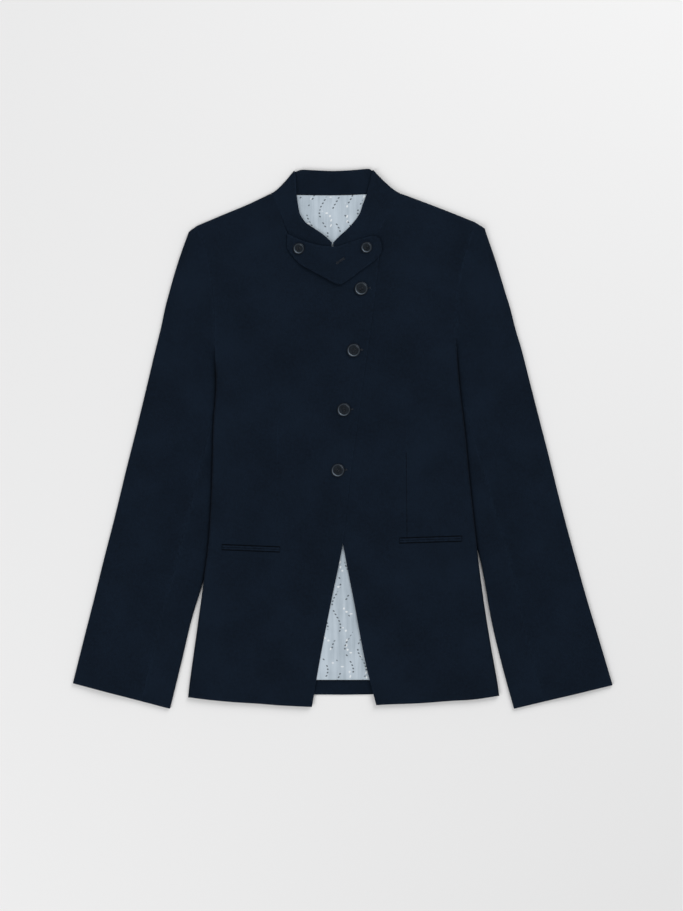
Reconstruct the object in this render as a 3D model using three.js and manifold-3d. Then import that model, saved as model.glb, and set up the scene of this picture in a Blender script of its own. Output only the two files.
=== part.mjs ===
// A woman's stand-collar blazer laid flat on its back, front up.
// Millimetres. +X is the wearer's left, +Y runs from hem to neck and +Z is up from the surface it lies on.
// The sleeves lie on the surface and the body lies over their inner edges, so each side of the body is
// raised on a sleeve. The right front laps over the left one along a slanting edge.
import * as THREE from 'three';
import Module from 'manifold-3d';
import { mergeVertices } from 'three/addons/utils/BufferGeometryUtils.js';

const wasm = await Module();
wasm.setup();

// Thicknesses and clearances.
const CLOTH = 1.4;
const LINING = 1.0;
const BAND = 1.9; // collar and throat tab, cloth on both sides of an interlining
const TAB = 2.0;
const JET = 1.0;
const SEAM = 0.35; // gap left at a seam between two pieces
const LAYER = 0.65; // gap left between two layers
const JET_GAP = 0.49; // under a pocket's jets
const COLLAR_GAP = 0.45; // under the collar behind the neck
const TAB_GAP = 0.4; // under the throat tab

// Heights of each layer's middle, where nothing lies below the body.
const BACK_LEVEL = CLOTH / 2;
const LINING_LEVEL = CLOTH + LAYER + LINING / 2;
const FRONT_LEVEL = LINING_LEVEL + LINING / 2 + LAYER + CLOTH / 2;
const LAP_RISE = CLOTH + LAYER; // the right front climbs this far over the left one
const BAND_OVER = FRONT_LEVEL - CLOTH / 2 + BAND / 2; // collar bands level with the fronts
const BAND_UNDER = COLLAR_GAP + BAND / 2; // the back of the collar, near the surface
const TAB_LEVEL = FRONT_LEVEL + LAP_RISE + CLOTH / 2 + TAB_GAP + TAB / 2;

// The body is raised by this much where a sleeve lies under it, and comes down over a long slope.
const TUCK_RISE = 4.5;
const TUCK_SLOPE = 95;
const TUCK_MARGIN = 6;
const TUCK_SPAN = { above: 236, full: 136, fullBelow: -190, below: -290 };

// Where the right front is raised over the left one.
const LAP_SLOPE = 60;
const LAP_MARGIN = 8;
const LAP_SPAN = { above: 322, full: 266, fullBelow: -146, below: -235 };

const BUTTON = { front: 9, tab: 7.5, thickness: 2.8, rim: 1.1, dish: 1.1, hole: 0.9, holeAt: 1.9 };
const BUTTON_EDGE = { base: 1.2, baseRise: 0.9, shoulder: 0.6, shoulderDrop: 0.8, slope: 0.8 };
const ROUND = { button: 24, hole: 8 }; // sides of each round
const NECK_BOTTOM = { x: -13, y: 231 };

// How a folded edge turns down: distance in from the edge, and drop below the panel. A shoulder turns down
// in two rows, the last of them at the edge.
const FOLD_EDGE = [
  { inward: 0.7, drop: 2.2 },
  { inward: 1.2, drop: 0.9 },
  { inward: 3.5, drop: 0.1 },
  { inward: 8, drop: 0 },
];

const SHOULDER_FOLD = { rows: [8, 3, 0.7], drops: [1.9, 0.45] };

// Measured up from the underarm: where the folded side ends, over what length, and where the sleeve's top
// starts and ends rising to meet the front.
const UNDERARM = { foldEnd: 14, foldOver: 34, joinStart: 2, joinEnd: 30 };
const JOIN_FROM = 0.35; // how far across the sleeve that rise starts

// Each side of the body, named for the wearer. armhole runs from the shoulder tip to the underarm, side
// from there to the hem, edge is the front edge from the hem to the top corner. tuck is a point on the
// inner fold of the sleeve below, with how far that fold moves inward for each step up.
const RIGHT = {
  name: 'right',
  armhole: [
    { x: -194, y: 283 },
    { x: -182.5, y: 251 },
    { x: -176, y: 220.5 },
    { x: -172, y: 190 },
    { x: -170.5, y: 159 },
    { x: -170, y: 128.5 },
  ],
  side: [
    { x: -168.5, y: 69 },
    { x: -172, y: 19.5 },
    { x: -174, y: -59 },
    { x: -178, y: -132 },
    { x: -184.5, y: -184 },
    { x: -188.5, y: -214.5 },
    { x: -196, y: -267.5 },
    { x: -203.5, y: -321 },
    { x: -206, y: -344 },
  ],
  edge: [
    { x: -41, y: -357 },
    { x: -30.5, y: -294.5 },
    { x: -15, y: -214.5 },
    { x: 0.5, y: -136 },
    { x: 12.5, y: -32.5 },
    { x: 44, y: 198 },
    { x: 50, y: 261 },
  ],
  hem: [
    { x: -206, y: -344 },
    { x: -178, y: -347.5 },
    { x: -146, y: -350.5 },
    { x: -114, y: -352.5 },
    { x: -82, y: -355 },
    { x: -41, y: -357 },
  ],
  shoulder: [
    { x: -194, y: 283 },
    { x: -156, y: 299 },
    { x: -127, y: 311 },
    { x: -95.6, y: 325.6 },
  ],
  neck: [
    { x: -90, y: 318.5 },
    { x: -82, y: 296 },
    { x: -75.5, y: 277.5 },
    { x: -66, y: 264.5 },
    { x: -51.5, y: 251 },
    { x: -33, y: 239 },
  ],
  lapCorner: { x: 40, y: 262.5 },
  tuck: { x: -184.5, y: -185.5, slope: 0.25 },
};

const LEFT = {
  name: 'left',
  armhole: [
    { x: 175.5, y: 288 },
    { x: 164, y: 251 },
    { x: 156, y: 220.5 },
    { x: 153, y: 190 },
    { x: 151.5, y: 159 },
    { x: 150.5, y: 128.5 },
  ],
  side: [
    { x: 155.5, y: 69 },
    { x: 162.5, y: 10 },
    { x: 168, y: -48.5 },
    { x: 175.5, y: -117.5 },
    { x: 181, y: -165.5 },
    { x: 187.5, y: -214.5 },
    { x: 196, y: -267.5 },
    { x: 205.5, y: -321 },
    { x: 208.5, y: -342 },
  ],
  edge: [
    { x: 44.5, y: -354.5 },
    { x: 29.5, y: -294.5 },
    { x: 14.5, y: -214.5 },
    { x: -0.5, y: -136 },
    { x: -71, y: 261 },
  ],
  hem: [
    { x: 208.5, y: -342 },
    { x: 174.5, y: -347 },
    { x: 142.5, y: -349 },
    { x: 102.5, y: -352 },
    { x: 63, y: -353.5 },
    { x: 44.5, y: -354.5 },
  ],
  shoulder: [
    { x: 175.5, y: 288 },
    { x: 138, y: 303 },
    { x: 108, y: 314.5 },
    { x: 76.7, y: 325.9 },
  ],
  neck: [
    { x: 71, y: 319.5 },
    { x: 59, y: 296 },
    { x: 49.5, y: 277.5 },
    { x: 40, y: 264.5 },
    { x: 25.5, y: 251 },
    { x: 7, y: 239 },
  ],
  lapCorner: { x: -66, y: 262.5 },
  tuck: { x: 184, y: -165.5, slope: 0.307 },
};

// Rows of a front from hem to shoulder: height at the side, and at the front edge.
const FRONT_ROWS = [
  { side: -344, edge: -357 },
  { side: -321, edge: -326 },
  { side: -293, edge: -294.5 },
  { side: -267, edge: -267 },
  { side: -240, edge: -240 },
  { side: -214.5, edge: -214.5 },
  { side: -190, edge: -190 },
  { side: -140, edge: -136 },
  { side: -70, edge: -68 },
  { side: 0, edge: -2 },
  { side: 70, edge: 62 },
  { side: 128.5, edge: 115 },
  { side: 143.7, edge: 128 },
  { side: 159, edge: 141 },
  { side: 174.5, edge: 155 },
  { side: 190, edge: 169 },
  { side: 205.2, edge: 183 },
  { side: 220.5, edge: 198 },
  { side: 251, edge: 229 },
];

// Rows of each sleeve from cuff to shoulder: outer and inner ends, how far across the forearm seam lies
// on top and the hindarm seam below, and the height of the top layer's middle.
const SLEEVE_COLUMNS = ['outX', 'outY', 'inX', 'inY', 'fore', 'hind', 'top'];
const RIGHT_SLEEVE = table(SLEEVE_COLUMNS, [
  [-359.5, -325.5, -230, -359.5, 0.7, 0.3, 3.3],
  [-345, -267.5, -215, -298.5, 0.7, 0.3, 3.3],
  [-330.5, -210.5, -201, -240, 0.7, 0.3, 3.3],
  [-317, -156, -184.5, -185.5, 0.7, 0.3, 3.3],
  [-303, -101.5, -170, -128, 0.7, 0.3, 3.3],
  [-288.5, -41.5, -155.5, -69.5, 0.7, 0.3, 3.3],
  [-273.5, 18, -141.5, -12.5, 0.7, 0.3, 3.3],
  [-259, 78, -128, 41, 0.7, 0.35, 3.3],
  [-249.5, 118, -128.5, 70, 0.83, 0.6, 3.3],
  [-242.5, 146, -139.5, 95.5, 0.95, 0.88, 3.3],
  [-236.5, 174, -170, 128.5, 1, 1, 3.4],
  [-231, 195, -170.5, 159, 1, 1, 3.6],
  [-225, 216.5, -172, 190, 1, 1, 3.9],
  [-218.5, 237.5, -176, 220.5, 1, 1, 4.2],
  [-212, 256.5, -182.5, 251, 1, 1, 4.2],
  [-205, 275, -194, 283, 1, 1, 4.2],
]);
const LEFT_SLEEVE = table(SLEEVE_COLUMNS, [
  [359.5, -328, 228, -359.5, 0.69, 0.3, 3.3],
  [341.5, -267.5, 213, -305, 0.69, 0.3, 3.3],
  [325.5, -214.5, 198.5, -245, 0.69, 0.3, 3.3],
  [303.5, -136, 184, -165.5, 0.69, 0.3, 3.3],
  [289, -81.5, 167, -111, 0.69, 0.3, 3.3],
  [274.5, -23, 149.5, -53.5, 0.69, 0.3, 3.3],
  [261.5, 27.5, 134, -3, 0.69, 0.3, 3.3],
  [249, 76.5, 120.5, 41, 0.7, 0.35, 3.3],
  [238.5, 118, 121, 70, 0.83, 0.6, 3.3],
  [231, 143, 131, 95.5, 0.95, 0.88, 3.3],
  [223, 174, 150.5, 128.5, 1, 1, 3.4],
  [216.5, 195, 151.5, 159, 1, 1, 3.6],
  [210, 216.5, 153, 190, 1, 1, 3.9],
  [203.5, 237.5, 156, 220.5, 1, 1, 4.2],
  [196.5, 258, 164.5, 253, 1, 1, 4.2],
  [189, 279.5, 175.5, 288, 1, 1, 4.2],
]);
const SLEEVE_CROWN = { height: 1.6, share: 0.68 }; // fullness of the top layer, over the outer share of it
const SLEEVE_LEAST = 1.2; // the least width kept of an under sleeve's flat layers
const OPEN_ROW = 10; // the first row where the sleeve opens into the armhole

// The collar from its right end, round the back of the neck, to its left end. base is sewn to the neck
// edge and top is the free edge. The band turns under at each fold.
const COLLAR_COLUMNS = ['baseX', 'baseY', 'topX', 'topY'];
const COLLAR_RIGHT = table(COLLAR_COLUMNS, [
  [-13.3, 231.2, -14.6, 261.5],
  [-33, 239, -25, 271],
  [-51.5, 251, -36.5, 279],
  [-66, 264.5, -48.5, 287],
  [-75.5, 277.5, -54.5, 295],
  [-82, 296, -58, 303],
  [-90, 318.5, -61.5, 325],
]);
const COLLAR_BACK = table(COLLAR_COLUMNS, [
  [-78, 324.5, -50, 358.2],
  [-62, 325, -36, 357.4],
  [-23.5, 324.5, -13, 356.5],
  [8.5, 325, 12, 357.6],
  [31, 326, 26, 358.9],
  [52, 325.7, 34.5, 359.3],
]);
const COLLAR_LEFT = table(COLLAR_COLUMNS, [
  [71, 319.5, 32.5, 327],
  [59, 296, 27, 313],
  [49.5, 277.5, 23, 301],
  [40, 264.5, 17.5, 292],
  [25.5, 251, 6, 279],
  [7, 239, -3, 271],
  [-12.7, 231.2, -12.5, 261.5],
]);
const COLLAR_FOLDS = {
  right: { baseX: -94.2, baseY: 325.3, topX: -62.8, topY: 354.2, outX: -0.707, outY: 0.707 },
  left: { baseX: 75, baseY: 325.6, topX: 38.4, topY: 355.4, outX: 0.652, outY: 0.758 },
};
const COLLAR_BOW = { depth: 2.5, lean: 0.62 }; // how deep each fold is hollowed, most near the neck seam
const COLLAR_BACK_RISE = 1.6; // the free edge behind the neck stands this much higher

// The back's neck edge and the lining's, from the wearer's right to left.
const BACK_NECK = [
  { x: -93.7, y: 324.2 },
  { x: -78, y: 323.3 },
  { x: -62, y: 324 },
  { x: -23.5, y: 323.6 },
  { x: 8.5, y: 324 },
  { x: 31, y: 325 },
  { x: 52, y: 324.5 },
  { x: 74.6, y: 324.5 },
];
const LINING_SHOULDER = [
  { x: -182, y: 277 },
  { x: -150, y: 292 },
  { x: -115, y: 307 },
  { x: -88, y: 317 },
];
const LINING_SHOULDER_LEFT = [
  { x: 72, y: 317 },
  { x: 100, y: 307.5 },
  { x: 130, y: 297 },
  { x: 165, y: 277 },
];
const BACK_HEM = { right: -339.5, middle: -341, left: -338.5 };
const LINING_HEM = -321;
const LINING_INSET = 6;
const LINING_BELOW_NECK = 0.3;
const BACK_ROWS = [
  -321, -290, -265, -240, -214.5, -190, -140, -70, 0,
  70, 128.5, 143.7, 159, 174.5, 190, 205.2, 220.5, 251,
];

// The throat tab in slices from its right end to its left end: upper and lower edge.
const TAB_SLICES = table(['topX', 'topY', 'lowX', 'lowY'], [
  [-74, 272, -74, 253.5],
  [-69.5, 270.5, -69, 246],
  [-54, 263.5, -57, 232.5],
  [-33, 257.5, -37, 221],
  [-15.5, 255.5, -12, 207.5],
  [-6.5, 256, -3.5, 205],
  [3, 259, 3, 208],
  [23, 265.5, 23, 222.5],
  [39, 269.5, 44, 238],
  [47.5, 267, 51, 247.5],
  [50.3, 262, 52.3, 253.5],
]);
const TAB_CURL = 1.2; // its lower edge lifts off the front by this much

const BUTTONS = [
  { name: 'button_front_1', x: 24.5, y: 199.5, radius: BUTTON.front, on: 'front' },
  { name: 'button_front_2', x: 14.5, y: 117.5, radius: BUTTON.front, on: 'front' },
  { name: 'button_front_3', x: 1.5, y: 38.5, radius: BUTTON.front, on: 'front' },
  { name: 'button_front_4', x: -6.5, y: -42, radius: BUTTON.front, on: 'front' },
  { name: 'button_tab_right', x: -58.5, y: 252.5, radius: BUTTON.tab, on: 'tab' },
  { name: 'button_tab_left', x: 31.5, y: 254, radius: BUTTON.tab, on: 'tab' },
];

// Pocket mouths: ends of the line where the two jets meet.
const POCKET_JET = 2.7; // height of one jet
const POCKETS = [
  { side: RIGHT, from: { x: -160, y: -144 }, to: { x: -84, y: -147.3 } },
  { side: LEFT, from: { x: 76, y: -135.5 }, to: { x: 157.5, y: -132.7 } },
];

const COLOURS = { cloth: 0x151c28, lining: 0xb2bcc4, button: 0x11151c };

function table(columns, rows) {
  return rows.map((row) => Object.fromEntries(columns.map((column, i) => [column, row[i]])));
}

function mix(a, b, t) {
  return a + (b - a) * t;
}

function mixPoints(a, b, t) {
  return { x: mix(a.x, b.x, t), y: mix(a.y, b.y, t) };
}

function smooth(t) {
  const c = Math.min(1, Math.max(0, t));
  return c * c * (3 - 2 * c);
}

// x on a line of points at height y.
function lineAt(points, y) {
  const sorted = [...points].sort((a, b) => a.y - b.y);
  let k = sorted.findIndex((p) => p.y >= y);
  k = Math.max(1, k < 0 ? sorted.length - 1 : k);
  const [a, b] = [sorted[k - 1], sorted[k]];
  return mix(a.x, b.x, (y - a.y) / (b.y - a.y));
}

// A line of points moved sideways, to its left when the distance is positive.
function offsetLine(points, distance) {
  return points.map((p, i) => {
    const a = points[Math.max(0, i - 1)];
    const b = points[Math.min(points.length - 1, i + 1)];
    const length = Math.hypot(b.x - a.x, b.y - a.y);
    return { x: p.x - ((b.y - a.y) / length) * distance, y: p.y + ((b.x - a.x) / length) * distance };
  });
}

// 1 between full and fullBelow, falling smoothly to 0 at above and at below.
function spanFactor(span, y) {
  const upper = smooth((span.above - y) / (span.above - span.full));
  const lower = smooth((y - span.below) / (span.fullBelow - span.below));
  return upper * lower;
}

// How far the body is raised by the sleeves under its sides.
function tuckLift(x, y) {
  const over = [RIGHT, LEFT].map(({ tuck }) => {
    const outward = Math.sign(tuck.x);
    const fold = tuck.x - outward * tuck.slope * (y - tuck.y);
    const past = outward * (x - fold) + TUCK_MARGIN;
    return smooth(1 + past / TUCK_SLOPE);
  });
  return TUCK_RISE * spanFactor(TUCK_SPAN, y) * Math.max(...over);
}

// How far the right front is raised by the left one under it.
function lapLift(x, y) {
  const hidden = lineAt([LEFT.edge[3], LEFT.edge[4]], Math.max(y, LEFT.edge[3].y));
  return LAP_RISE * spanFactor(LAP_SPAN, y) * smooth(1 + (x - hidden + LAP_MARGIN) / LAP_SLOPE);
}

const backHeight = (x, y) => BACK_LEVEL + tuckLift(x, y);
const liningHeight = (x, y) => LINING_LEVEL + tuckLift(x, y);
LEFT.height = (x, y) => FRONT_LEVEL + tuckLift(x, y);
RIGHT.height = (x, y) => FRONT_LEVEL + tuckLift(x, y) + lapLift(x, y);

// A patch between four edges of points. bottom and top run along u, left and right along v.
function coonsPatch(bottom, top, left, right) {
  const share = (line) => {
    const run = [0];
    for (let i = 1; i < line.length; i += 1) {
      run.push(run[i - 1] + Math.hypot(line[i].x - line[i - 1].x, line[i].y - line[i - 1].y));
    }
    return run.map((r) => r / run[run.length - 1]);
  };
  const [us, vs] = [share(top), share(left)];
  const blend = (axis, i, j) => {
    const [u, v] = [us[i], vs[j]];
    const across = mix(left[j][axis], right[j][axis], u);
    const along = mix(bottom[i][axis], top[i][axis], v);
    const low = mix(bottom[0][axis], bottom.at(-1)[axis], u);
    const high = mix(top[0][axis], top.at(-1)[axis], u);
    return across + along - mix(low, high, v);
  };
  return left.map((_, j) => top.map((__, i) => ({ x: blend('x', i, j), y: blend('y', i, j) })));
}

// A closed wall of cloth round a grid of middle points, half the thickness to each side of them.
function clothWall(grid, thickness) {
  const [rows, columns] = [grid.length, grid[0].length];
  const at = (j, i) => grid[Math.min(rows - 1, Math.max(0, j))][Math.min(columns - 1, Math.max(0, i))];
  const faces = [[], []];
  for (let j = 0; j < rows; j += 1) {
    for (let i = 0; i < columns; i += 1) {
      const along = new THREE.Vector3().subVectors(at(j, i + 1), at(j, i - 1));
      const up = new THREE.Vector3().subVectors(at(j + 1, i), at(j - 1, i));
      const normal = along.cross(up).normalize().multiplyScalar(thickness / 2);
      faces[0].push(at(j, i).clone().add(normal));
      faces[1].push(at(j, i).clone().sub(normal));
    }
  }
  const index = [];
  const size = rows * columns;
  const quad = (a, b, c, d) => index.push(a, b, c, a, c, d);
  for (let j = 0; j < rows - 1; j += 1) {
    for (let i = 0; i < columns - 1; i += 1) {
      const a = j * columns + i;
      quad(a, a + 1, a + columns + 1, a + columns);
      quad(size + a, size + a + columns, size + a + columns + 1, size + a + 1);
    }
  }
  for (let i = 0; i < columns - 1; i += 1) {
    const top = (rows - 1) * columns + i;
    quad(size + i, size + i + 1, i + 1, i);
    quad(top, top + 1, size + top + 1, size + top);
  }
  for (let j = 0; j < rows - 1; j += 1) {
    const left = j * columns;
    const right = left + columns - 1;
    quad(left, left + columns, size + left + columns, size + left);
    quad(size + right, size + right + columns, right + columns, right);
  }
  const geometry = new THREE.BufferGeometry();
  const points = [...faces[0], ...faces[1]].flatMap((p) => [p.x, p.y, p.z]);
  geometry.setAttribute('position', new THREE.Float32BufferAttribute(points, 3));
  geometry.setIndex(index);
  return geometry;
}

function heightGrid(flat, height) {
  return flat.map((row) => row.map((p) => new THREE.Vector3(p.x, p.y, height(p.x, p.y))));
}

// Points along a line of vertices, with extra ones close to its start for a folded edge.
function withFold(points, fold) {
  const length = Math.hypot(points[1].x - points[0].x, points[1].y - points[0].y);
  return [...fold.map((f) => mixPoints(points[0], points[1], f.inward / length)), ...points.slice(1)];
}

// A hem line shared out over as many points as the top edge has, by the same shares of its length.
function shareAlong(points, like) {
  const run = (line) => line.reduce((sum, p, i) => {
    const step = i ? Math.hypot(p.x - line[i - 1].x, p.y - line[i - 1].y) : 0;
    return [...sum, (sum.at(-1) ?? 0) + step];
  }, []);
  const [own, other] = [run(points), run(like)];
  return other.map((r) => {
    const at = (r / other.at(-1)) * own.at(-1);
    const k = Math.min(points.length - 1, Math.max(1, own.findIndex((o) => o >= at - 1e-9)));
    return mixPoints(points[k - 1], points[k], (at - own[k - 1]) / (own[k] - own[k - 1]));
  });
}

// 1 where the body's side is a fold, 0 along the armhole seam.
function foldedShare(side, y) {
  return smooth((side.armhole.at(-1).y + UNDERARM.foldEnd - y) / UNDERARM.foldOver);
}

// 1 where a sleeve is sewn to the front at the front's own height, 0 where it lies under the body.
function joinedShare(side, y) {
  const above = y - side.armhole.at(-1).y;
  return smooth((above - UNDERARM.joinStart) / (UNDERARM.joinEnd - UNDERARM.joinStart));
}

// A front, from the side and armhole to its front edge, its folded side and shoulder turned down.
function frontPanel(side, other) {
  const outward = Math.sign(side.side[0].x);
  const outline = [...side.armhole, ...side.side];
  const ownNeck = offsetLine([...side.neck, NECK_BOTTOM], outward * SEAM);
  const farPoints = [NECK_BOTTOM, ...other.neck.toReversed().slice(0, 2), side.lapCorner];
  const farNeck = offsetLine(farPoints, outward * SEAM);
  const corner = side.edge.at(-1);
  const top = withFold([...side.shoulder, ...ownNeck, ...farNeck.slice(1), corner], FOLD_EDGE);
  const bottomWhole = shareAlong(side.hem, [side.shoulder[0], ...top.slice(FOLD_EDGE.length)]);
  const bottom = withFold(bottomWhole, FOLD_EDGE);
  const tip = side.armhole[0];
  const sideYs = [...FRONT_ROWS.map((r) => r.side), ...SHOULDER_FOLD.rows.map((d) => tip.y - d)];
  const edgeYs = [...FRONT_ROWS.map((r) => r.edge), ...SHOULDER_FOLD.rows.map((d) => corner.y - d)];
  sideYs[0] = side.hem[0].y;
  edgeYs[0] = side.edge[0].y;
  const seamShift = (y) => (y > side.armhole.at(-1).y - 1 ? SEAM / 2 : 0);
  const inset = (y) => outward * (seamShift(y) + FOLD_EDGE[0].inward);
  const left = sideYs.map((y) => ({ x: lineAt(outline, y) - inset(y), y }));
  const right = edgeYs.map((y) => ({ x: lineAt(side.edge, y), y }));
  const flat = coonsPatch(bottom, top, left, right);
  const shoulderColumns = FOLD_EDGE.length + side.shoulder.length - 1;
  const grid = flat.map((row, j) => row.map((p, i) => {
    const rowsFromTop = flat.length - 1 - j;
    const sideDrop = (FOLD_EDGE[i]?.drop ?? 0) * foldedShare(side, left[j].y);
    const shoulderDrop = i < shoulderColumns ? SHOULDER_FOLD.drops[rowsFromTop] ?? 0 : 0;
    return new THREE.Vector3(p.x, p.y, side.height(p.x, p.y) - Math.max(sideDrop, shoulderDrop));
  }));
  return clothWall(outward < 0 ? grid : grid.map((row) => [...row].reverse()), CLOTH);
}

function backPanel() {
  const top = [...RIGHT.shoulder.slice(0, 3), ...BACK_NECK, ...LEFT.shoulder.slice(0, 3).reverse()];
  const sideLine = (side, y) => lineAt([...side.armhole, ...side.side], y);
  const rows = (side, hem) => {
    const inward = -Math.sign(side.side[0].x) * (SEAM / 2);
    const ys = [hem, ...BACK_ROWS, side.shoulder[0].y];
    return ys.map((y) => ({ x: sideLine(side, y) + inward, y }));
  };
  const left = rows(RIGHT, BACK_HEM.right);
  const right = rows(LEFT, BACK_HEM.left);
  const bottom = shareAlong([left[0], { x: 0, y: BACK_HEM.middle }, right[0]], top);
  return clothWall(heightGrid(coonsPatch(bottom, top, left, right), backHeight), CLOTH);
}

function liningPanel() {
  const neck = offsetLine(BACK_NECK.slice(1, -1), LINING_BELOW_NECK);
  const top = [...LINING_SHOULDER, ...neck, ...LINING_SHOULDER_LEFT];
  const rows = (side, line) => {
    const inward = -Math.sign(side.side[0].x) * LINING_INSET;
    const ys = [LINING_HEM, ...BACK_ROWS.slice(1)];
    return [...ys.map((y) => ({ x: lineAt([...side.armhole, ...side.side], y) + inward, y })), line];
  };
  const left = rows(RIGHT, LINING_SHOULDER[0]);
  const right = rows(LEFT, LINING_SHOULDER_LEFT.at(-1));
  const bottom = shareAlong([left[0], right[0]], top);
  return clothWall(heightGrid(coonsPatch(bottom, top, left, right), liningHeight), LINING);
}

// A point on a flattened sleeve, at a distance in from its outer edge.
function sleevePoint(row, distance, z) {
  const width = Math.hypot(row.inX - row.outX, row.inY - row.outY);
  const t = distance / width;
  return new THREE.Vector3(mix(row.outX, row.inX, t), mix(row.outY, row.inY, t), z);
}

function sleeveSection(row, side) {
  const width = Math.hypot(row.inX - row.outX, row.inY - row.outY);
  const radius = (row.top - BACK_LEVEL) / 2;
  const middle = (row.top + BACK_LEVEL) / 2;
  const reach = CLOTH / 2 + radius;
  const crown = (d) => {
    const across = Math.min(1, d / (SLEEVE_CROWN.share * width));
    return SLEEVE_CROWN.height * Math.sin(Math.PI * across) ** 2;
  };
  const meet = joinedShare(side, row.inY) * (side.height(row.inX, row.inY) - row.top);
  const rise = (d) => Math.max(0, meet) * smooth((d / width - JOIN_FROM) / (1 - JOIN_FROM));
  return { width, radius, middle, reach, topAt: (d) => row.top + crown(d) + rise(d) };
}

const COLLAR_POINTS = 6; // from the neck seam to the free edge
const FOLD_ANGLES = [-90, -45, 0, 45, 90].map((a) => (a * Math.PI) / 180);
const steps = (from, to, count) => Array.from({ length: count }, (_, k) => mix(from, to, k / (count - 1)));

// The upper sleeve: from the hindarm seam underneath, round the outer edge, to the forearm seam on top.
function upperSleeve(rows, side) {
  return rows.map((row) => {
    const { width, radius, middle, reach, topAt } = sleeveSection(row, side);
    const under = steps(row.hind * width - SEAM / 2, reach, 4).slice(0, -1);
    const over = steps(reach, row.fore * width - SEAM / 2, 9).slice(1);
    return [
      ...under.map((d) => sleevePoint(row, d, BACK_LEVEL)),
      ...FOLD_ANGLES.map((a) => sleevePoint(
        row, reach - radius * Math.cos(a), middle + radius * Math.sin(a))),
      ...over.map((d) => sleevePoint(row, d, topAt(d))),
    ];
  });
}

// The under sleeve: from the forearm seam on top, round the inner edge, to the hindarm seam underneath.
function underSleeve(rows, side) {
  return rows.slice(0, OPEN_ROW).map((row) => {
    const { width, radius, middle, reach, topAt } = sleeveSection(row, side);
    const turn = width - reach; // where the inner edge starts to turn
    const nearest = (share) => Math.min(share * width + SEAM / 2, turn - SLEEVE_LEAST);
    const over = steps(nearest(row.fore), turn, 4).slice(0, -1);
    const under = steps(turn, nearest(row.hind), 6).slice(1);
    const angles = [...FOLD_ANGLES].reverse();
    return [
      ...over.map((d) => sleevePoint(row, d, topAt(d))),
      ...angles.map((a) => sleevePoint(
        row, turn + radius * Math.cos(a), middle + radius * Math.sin(a))),
      ...under.map((d) => sleevePoint(row, d, BACK_LEVEL)),
    ];
  });
}

function collarSection(row, base, top) {
  return steps(0, 1, COLLAR_POINTS).map((t) => new THREE.Vector3(
    mix(row.baseX, row.topX, t), mix(row.baseY, row.topY, t), mix(base, top, t)));
}

// The band turned under along a slanting fold, from the upper layer to the lower one.
function collarFold(fold) {
  const radius = (BAND_OVER - BAND_UNDER) / 2;
  const middle = (BAND_OVER + BAND_UNDER) / 2;
  return [...FOLD_ANGLES].reverse().map((a) => {
    const out = radius * Math.cos(a);
    const z = middle + radius * Math.sin(a);
    return collarSection(fold, z, z).map((p, k, section) => {
      const t = (k / (section.length - 1)) ** COLLAR_BOW.lean;
      const shift = out - COLLAR_BOW.depth * 4 * t * (1 - t);
      return new THREE.Vector3(p.x + fold.outX * shift, p.y + fold.outY * shift, p.z);
    });
  });
}

function collarBand() {
  const sections = [
    ...COLLAR_RIGHT.map((row) => collarSection(row, BAND_OVER, BAND_OVER)),
    ...collarFold(COLLAR_FOLDS.right),
    ...COLLAR_BACK.map((row) => collarSection(row, BAND_UNDER, BAND_UNDER + COLLAR_BACK_RISE)),
    ...collarFold(COLLAR_FOLDS.left).reverse(),
    ...COLLAR_LEFT.map((row) => collarSection(row, BAND_OVER, BAND_OVER)),
  ];
  return clothWall(sections, BAND);
}

function throatTab() {
  const across = [0, 0.35, 0.7, 1];
  const grid = across.map((t) => TAB_SLICES.map((slice) => new THREE.Vector3(
    mix(slice.lowX, slice.topX, t),
    mix(slice.lowY, slice.topY, t),
    TAB_LEVEL + (t === 0 ? TAB_CURL : 0))));
  return clothWall(grid, TAB);
}

// One jet of a pocket, lying on the front. way is 1 for the upper jet and -1 for the lower one.
function pocketJet(pocket, way) {
  const { height } = pocket.side;
  const lift = CLOTH / 2 + JET_GAP + JET / 2;
  const near = SEAM / 2;
  const far = near + POCKET_JET;
  const levels = way > 0 ? [near, far] : [-far, -near];
  const grid = levels.map((dy) => steps(0, 1, 7).map((t) => {
    const p = mixPoints(pocket.from, pocket.to, t);
    return new THREE.Vector3(p.x, p.y + dy, height(p.x, p.y + dy) + lift);
  }));
  return clothWall(grid, JET);
}

function toSolid(geometry) {
  const plain = geometry.clone();
  plain.deleteAttribute('normal');
  plain.deleteAttribute('uv');
  const merged = mergeVertices(plain);
  return new wasm.Manifold(new wasm.Mesh({
    numProp: 3,
    vertProperties: new Float32Array(merged.attributes.position.array),
    triVerts: new Uint32Array(merged.index.array),
  }));
}

function fromSolid(solid) {
  const mesh = solid.getMesh();
  const geometry = new THREE.BufferGeometry();
  geometry.setAttribute('position', new THREE.Float32BufferAttribute(mesh.vertProperties, 3));
  geometry.setIndex([...mesh.triVerts]);
  return geometry;
}

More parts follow.
